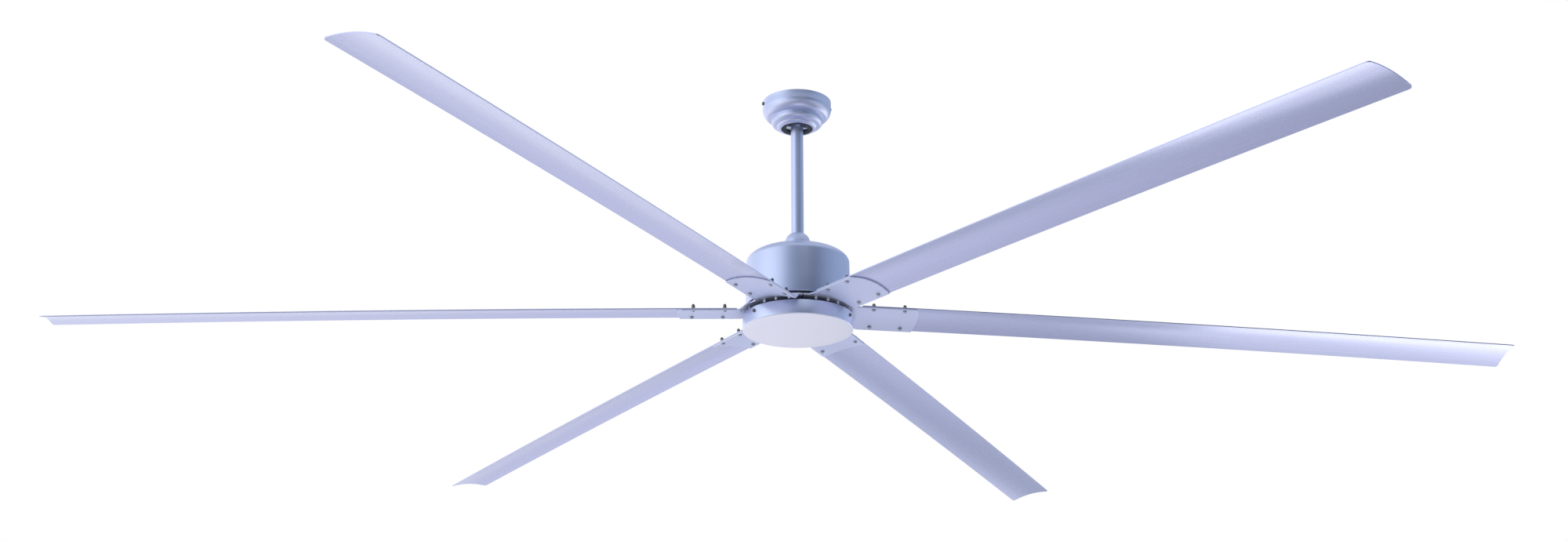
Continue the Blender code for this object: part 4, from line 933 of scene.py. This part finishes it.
# The same, by metres from FLOOR_CENTRE
PAINTED_REFLECTION_AWAY = [
    (0.0, (0.26, 0.28, 0.32)), (3.4, (0.34, 0.36, 0.40)), (4.4, (0.56, 0.57, 0.60)),
    (6.4, (0.80, 0.81, 0.83)), (8.5, (1.0, 1.0, 1.0)), (9.6, (0.88, 0.89, 0.92)),
    (11.2, (0.66, 0.69, 0.74)), (14.0, (0.80, 0.82, 0.86))]

# Tint of the room's walls, by degrees round the fan
WALL_TINTS = [
    (-180, (0.92, 1.00, 1.14)), (-150, (0.88, 0.97, 1.12)), (-124, (0.50, 0.59, 0.72)),
    (-106, (0.20, 0.26, 0.36)), (-84, (0.05, 0.075, 0.13)), (-58, (0.04, 0.06, 0.11)),
    (-34, (0.26, 0.35, 0.49)), (0, (0.40, 0.50, 0.68)), (45, (0.44, 0.53, 0.69)),
    (80, (0.62, 0.65, 0.76)), (92, (0.92, 0.94, 1.02)), (108, (1.30, 1.30, 1.34)),
    (145, (0.95, 1.00, 1.14)), (180, (0.92, 1.00, 1.14))]
CEILING_TINT = (0.62, 0.68, 0.80, 1)
GROUND_TINT = (1.0, 1.0, 1.05, 1)

# Name, place, target, width, depth (a disk has none), watts, colour
LAMPS = [
    ("left_softbox", (-3.2, -1.6, 0.6), (0, 0, -0.4), 4.0, None, 12.0, (0.96, 0.97, 1.0)),
    ("ceiling_bounce", (0.25, -1.2, 0.30), (0, 0, -0.15), 0.5, None, 0.30, (0.90, 0.95, 1.0)),
    ("low_fill", (0.4, -1.0, -2.6), (0, 0, -0.5), 2.0, None, 12.0, (1.0, 0.98, 1.0)),
    ("right_low_card", (3.0, 2.2, -1.3), (3.0, 0, -1.3), 3.0, 1.0, 8.9, (0.98, 0.98, 1.0)),
    ("right_floor_card", (3.0, 2.0, -2.6), (3.0, 2.0, 0), 3.2, 2.8, 20.0, (0.98, 0.98, 1.0))]

PHOTO_WIDTH_PIXELS = 2000.0
FOCAL_PIXELS = 2512.6
SENSOR_WIDTH = 36.0
CAMERA_SPOT = (-0.0299, -3.8958, HUB_LEVEL - 1.3324)
CAMERA_TURN = math.radians(-4.823)
CAMERA_YAW = math.radians(-0.015)
CAMERA_TILT = math.radians(90.0 + 20.2024)
CAMERA_ROLL = math.radians(-0.168)


def floor_material():
    """White to the camera, a glow of painted reflections to the paint that mirrors it, and clear
    from below.
    """
    material = bpy.data.materials.new("Studio Floor")
    material.use_nodes = True
    tree = material.node_tree
    tree.nodes.clear()
    place = add_node(tree, "ShaderNodeTexCoord")
    split = add_node(tree, "ShaderNodeSeparateXYZ")
    reach = add_node(tree, "ShaderNodeVectorMath", operation="DISTANCE")
    reach.inputs[1].default_value = FLOOR_CENTRE
    sideways, sideways_ramp = color_ramp(tree, PAINTED_REFLECTION_SIDEWAYS)
    away, away_ramp = color_ramp(tree, PAINTED_REFLECTION_AWAY)
    # Painted reflection: glossy rays see a glow whose colour is set by place on the floor.
    painted_reflection = add_node(tree, "ShaderNodeMix", data_type="RGBA", blend_type="MULTIPLY", factor=1.0)
    whole = add_node(tree, "ShaderNodeMix", data_type="RGBA", b=(1.0, 1.0, 1.0, 1.0))
    paper = add_node(tree, "ShaderNodeBsdfDiffuse")
    paper.inputs["Color"].default_value = FLOOR_PAPER
    glow = add_node(tree, "ShaderNodeEmission")
    path = add_node(tree, "ShaderNodeLightPath")
    mirrored = add_node(tree, "ShaderNodeMath", operation="MAXIMUM")
    in_camera = add_node(tree, "ShaderNodeMath", operation="MULTIPLY")
    in_camera.inputs[1].default_value = FLOOR_CAMERA_SHARE
    seen = add_node(tree, "ShaderNodeMath", operation="MAXIMUM")
    mix = add_node(tree, "ShaderNodeMixShader")
    side = add_node(tree, "ShaderNodeNewGeometry")
    clear = add_node(tree, "ShaderNodeBsdfTransparent")
    sided = add_node(tree, "ShaderNodeMixShader")
    out = add_node(tree, "ShaderNodeOutputMaterial")
    link_nodes(
        tree, (place, "Object", split, 0), (place, "Object", reach, 0),
        (split, "X", sideways, "Value"), (reach, "Value", away, "Value"),
        (sideways_ramp, "Color", painted_reflection, "A"), (away_ramp, "Color", painted_reflection, "B"),
        (painted_reflection, "Result", whole, "A"), (whole, "Result", glow, "Color"),
        (path, "Is Camera Ray", whole, "Factor"), (path, "Is Glossy Ray", mirrored, 0),
        (path, "Is Transmission Ray", mirrored, 1), (path, "Is Camera Ray", in_camera, 0),
        (mirrored, 0, seen, 0), (in_camera, 0, seen, 1), (seen, 0, mix, 0),
        (paper, 0, mix, 1), (glow, 0, mix, 2), (side, "Backfacing", sided, 0),
        (mix, 0, sided, 1), (clear, 0, sided, 2), (sided, 0, out, "Surface"))
    return material


class FAN_OT_add_stage(bpy.types.Operator):
    """Add the floor, the studio light and the camera"""

    bl_idname = "fan.add_stage"
    bl_label = "Stage"

    def execute(self, context):
        scene = context.scene
        scene.view_settings.view_transform = "Standard"
        self.add_floor(scene)
        self.light_world(scene)
        self.add_lamps(scene)
        self.add_camera(scene)
        return {"FINISHED"}

    def add_floor(self, scene):
        bm = bmesh.new()
        bmesh.ops.create_grid(bm, x_segments=8, y_segments=8, size=FLOOR_HALF,
                              matrix=Matrix.Translation((0, 0, FLOOR_LEVEL)))
        mesh = bpy.data.meshes.new("studio_floor")
        bm.to_mesh(mesh)
        bm.free()
        mesh.materials.append(floor_material())
        floor = bpy.data.objects.new("studio_floor", mesh)
        scene.collection.objects.link(floor)

    def light_world(self, scene):
        world = bpy.data.worlds.new("Studio")
        scene.world = world
        world.use_nodes = True
        tree = world.node_tree
        tree.nodes.clear()
        place = add_node(tree, "ShaderNodeTexCoord")
        split = add_node(tree, "ShaderNodeSeparateXYZ")
        turn = add_node(tree, "ShaderNodeMath", operation="ARCTAN2")
        degrees = add_node(tree, "ShaderNodeMath", operation="DEGREES")
        walls, walls_ramp = color_ramp(tree, WALL_TINTS)
        upwards = add_node(tree, "ShaderNodeMapRange", from_min=0.42, from_max=0.75)
        ceiling = add_node(tree, "ShaderNodeMix", data_type="RGBA", b=CEILING_TINT)
        downwards = add_node(tree, "ShaderNodeMapRange", from_min=-0.05, from_max=-0.30)
        ground = add_node(tree, "ShaderNodeMix", data_type="RGBA", b=GROUND_TINT)
        room = add_node(tree, "ShaderNodeBackground")
        white = add_node(tree, "ShaderNodeBackground")
        white.inputs["Color"].default_value = (1, 1, 1, 1)
        path = add_node(tree, "ShaderNodeLightPath")
        seen = add_node(tree, "ShaderNodeMath", operation="MAXIMUM")
        mix = add_node(tree, "ShaderNodeMixShader")
        out = add_node(tree, "ShaderNodeOutputWorld")
        link_nodes(
            tree, (place, "Generated", split, 0), (split, "Y", turn, 0), (split, "X", turn, 1),
            (turn, 0, degrees, 0), (degrees, 0, walls, "Value"), (split, "Z", upwards, "Value"),
            (upwards, "Result", ceiling, "Factor"), (walls_ramp, "Color", ceiling, "A"),
            (split, "Z", downwards, "Value"), (downwards, "Result", ground, "Factor"),
            (ceiling, "Result", ground, "A"), (ground, "Result", room, "Color"),
            (path, "Is Camera Ray", seen, 0), (path, "Is Transmission Ray", seen, 1),
            (seen, 0, mix, 0), (room, 0, mix, 1), (white, 0, mix, 2), (mix, 0, out, "Surface"))

    def add_lamps(self, scene):
        for name, spot, target, width, depth, watts, colour in LAMPS:
            data = bpy.data.lights.new(name, "AREA")
            data.shape = "RECTANGLE" if depth else "DISK"
            data.size = width
            if depth:
                data.size_y = depth
            data.energy = watts
            data.color = colour
            lamp = bpy.data.objects.new(name, data)
            scene.collection.objects.link(lamp)
            aim = (Vector(target) - Vector(spot)).to_track_quat("-Z", "Y")
            lamp.matrix_world = Matrix.Translation(spot) @ aim.to_matrix().to_4x4()
            lamp.visible_camera = False

    def add_camera(self, scene):
        data = bpy.data.cameras.new("photo_camera")
        data.sensor_width = SENSOR_WIDTH
        data.lens = SENSOR_WIDTH * FOCAL_PIXELS / PHOTO_WIDTH_PIXELS
        data.clip_end = 100.0
        camera = bpy.data.objects.new("photo_camera", data)
        scene.collection.objects.link(camera)
        turn = Matrix.Rotation(CAMERA_TURN, 4, "Z")
        camera.matrix_world = (Matrix.Translation(turn @ Vector(CAMERA_SPOT)) @ turn
                               @ Matrix.Rotation(CAMERA_YAW, 4, "Z")
                               @ Matrix.Rotation(CAMERA_TILT, 4, "X")
                               @ Matrix.Rotation(CAMERA_ROLL, 4, "Z"))
        scene.camera = camera


class FAN_PT_sidebar(bpy.types.Panel):
    """Lists the fan's pieces in the sidebar"""

    bl_label = "Ceiling Fan"
    bl_idname = "FAN_PT_sidebar"
    bl_space_type = "VIEW_3D"
    bl_region_type = "UI"
    bl_category = "Ceiling Fan"

    def draw(self, context):
        layout = self.layout
        column = layout.column(align=True)
        for operator in OPERATORS:
            column.operator(operator.bl_idname)
        for group in (context.scene.fan_sizes, context.scene.fan_finishes):
            box = layout.box()
            for name in group.__annotations__:
                box.prop(group, name)


OPERATORS = (FAN_OT_add_hanger, FAN_OT_add_canopy, FAN_OT_add_downrod, FAN_OT_add_housing,
             FAN_OT_add_motor, FAN_OT_add_hub, FAN_OT_add_irons, FAN_OT_add_blades,
             FAN_OT_add_bolts, FAN_OT_add_cap, FAN_OT_add_stage)
CLASSES = (FanSizes, FanFinishes) + OPERATORS + (FAN_PT_sidebar,)


def register():
    """Registers the classes and the scene's properties."""
    for cls in CLASSES:
        bpy.utils.register_class(cls)
    bpy.types.Scene.fan_sizes = PointerProperty(type=FanSizes)
    bpy.types.Scene.fan_finishes = PointerProperty(type=FanFinishes)


def unregister():
    """Takes them away again."""
    del bpy.types.Scene.fan_finishes
    del bpy.types.Scene.fan_sizes
    for cls in reversed(CLASSES):
        bpy.utils.unregister_class(cls)


def main():
    """Makes every piece."""
    register()
    bpy.ops.fan.add_hanger()
    bpy.ops.fan.add_canopy()
    bpy.ops.fan.add_downrod()
    bpy.ops.fan.add_housing()
    bpy.ops.fan.add_motor()
    bpy.ops.fan.add_hub()
    bpy.ops.fan.add_irons()
    bpy.ops.fan.add_blades()
    bpy.ops.fan.add_bolts()
    bpy.ops.fan.add_cap()
    bpy.ops.fan.add_stage()


if __name__ == "__main__":
    main()
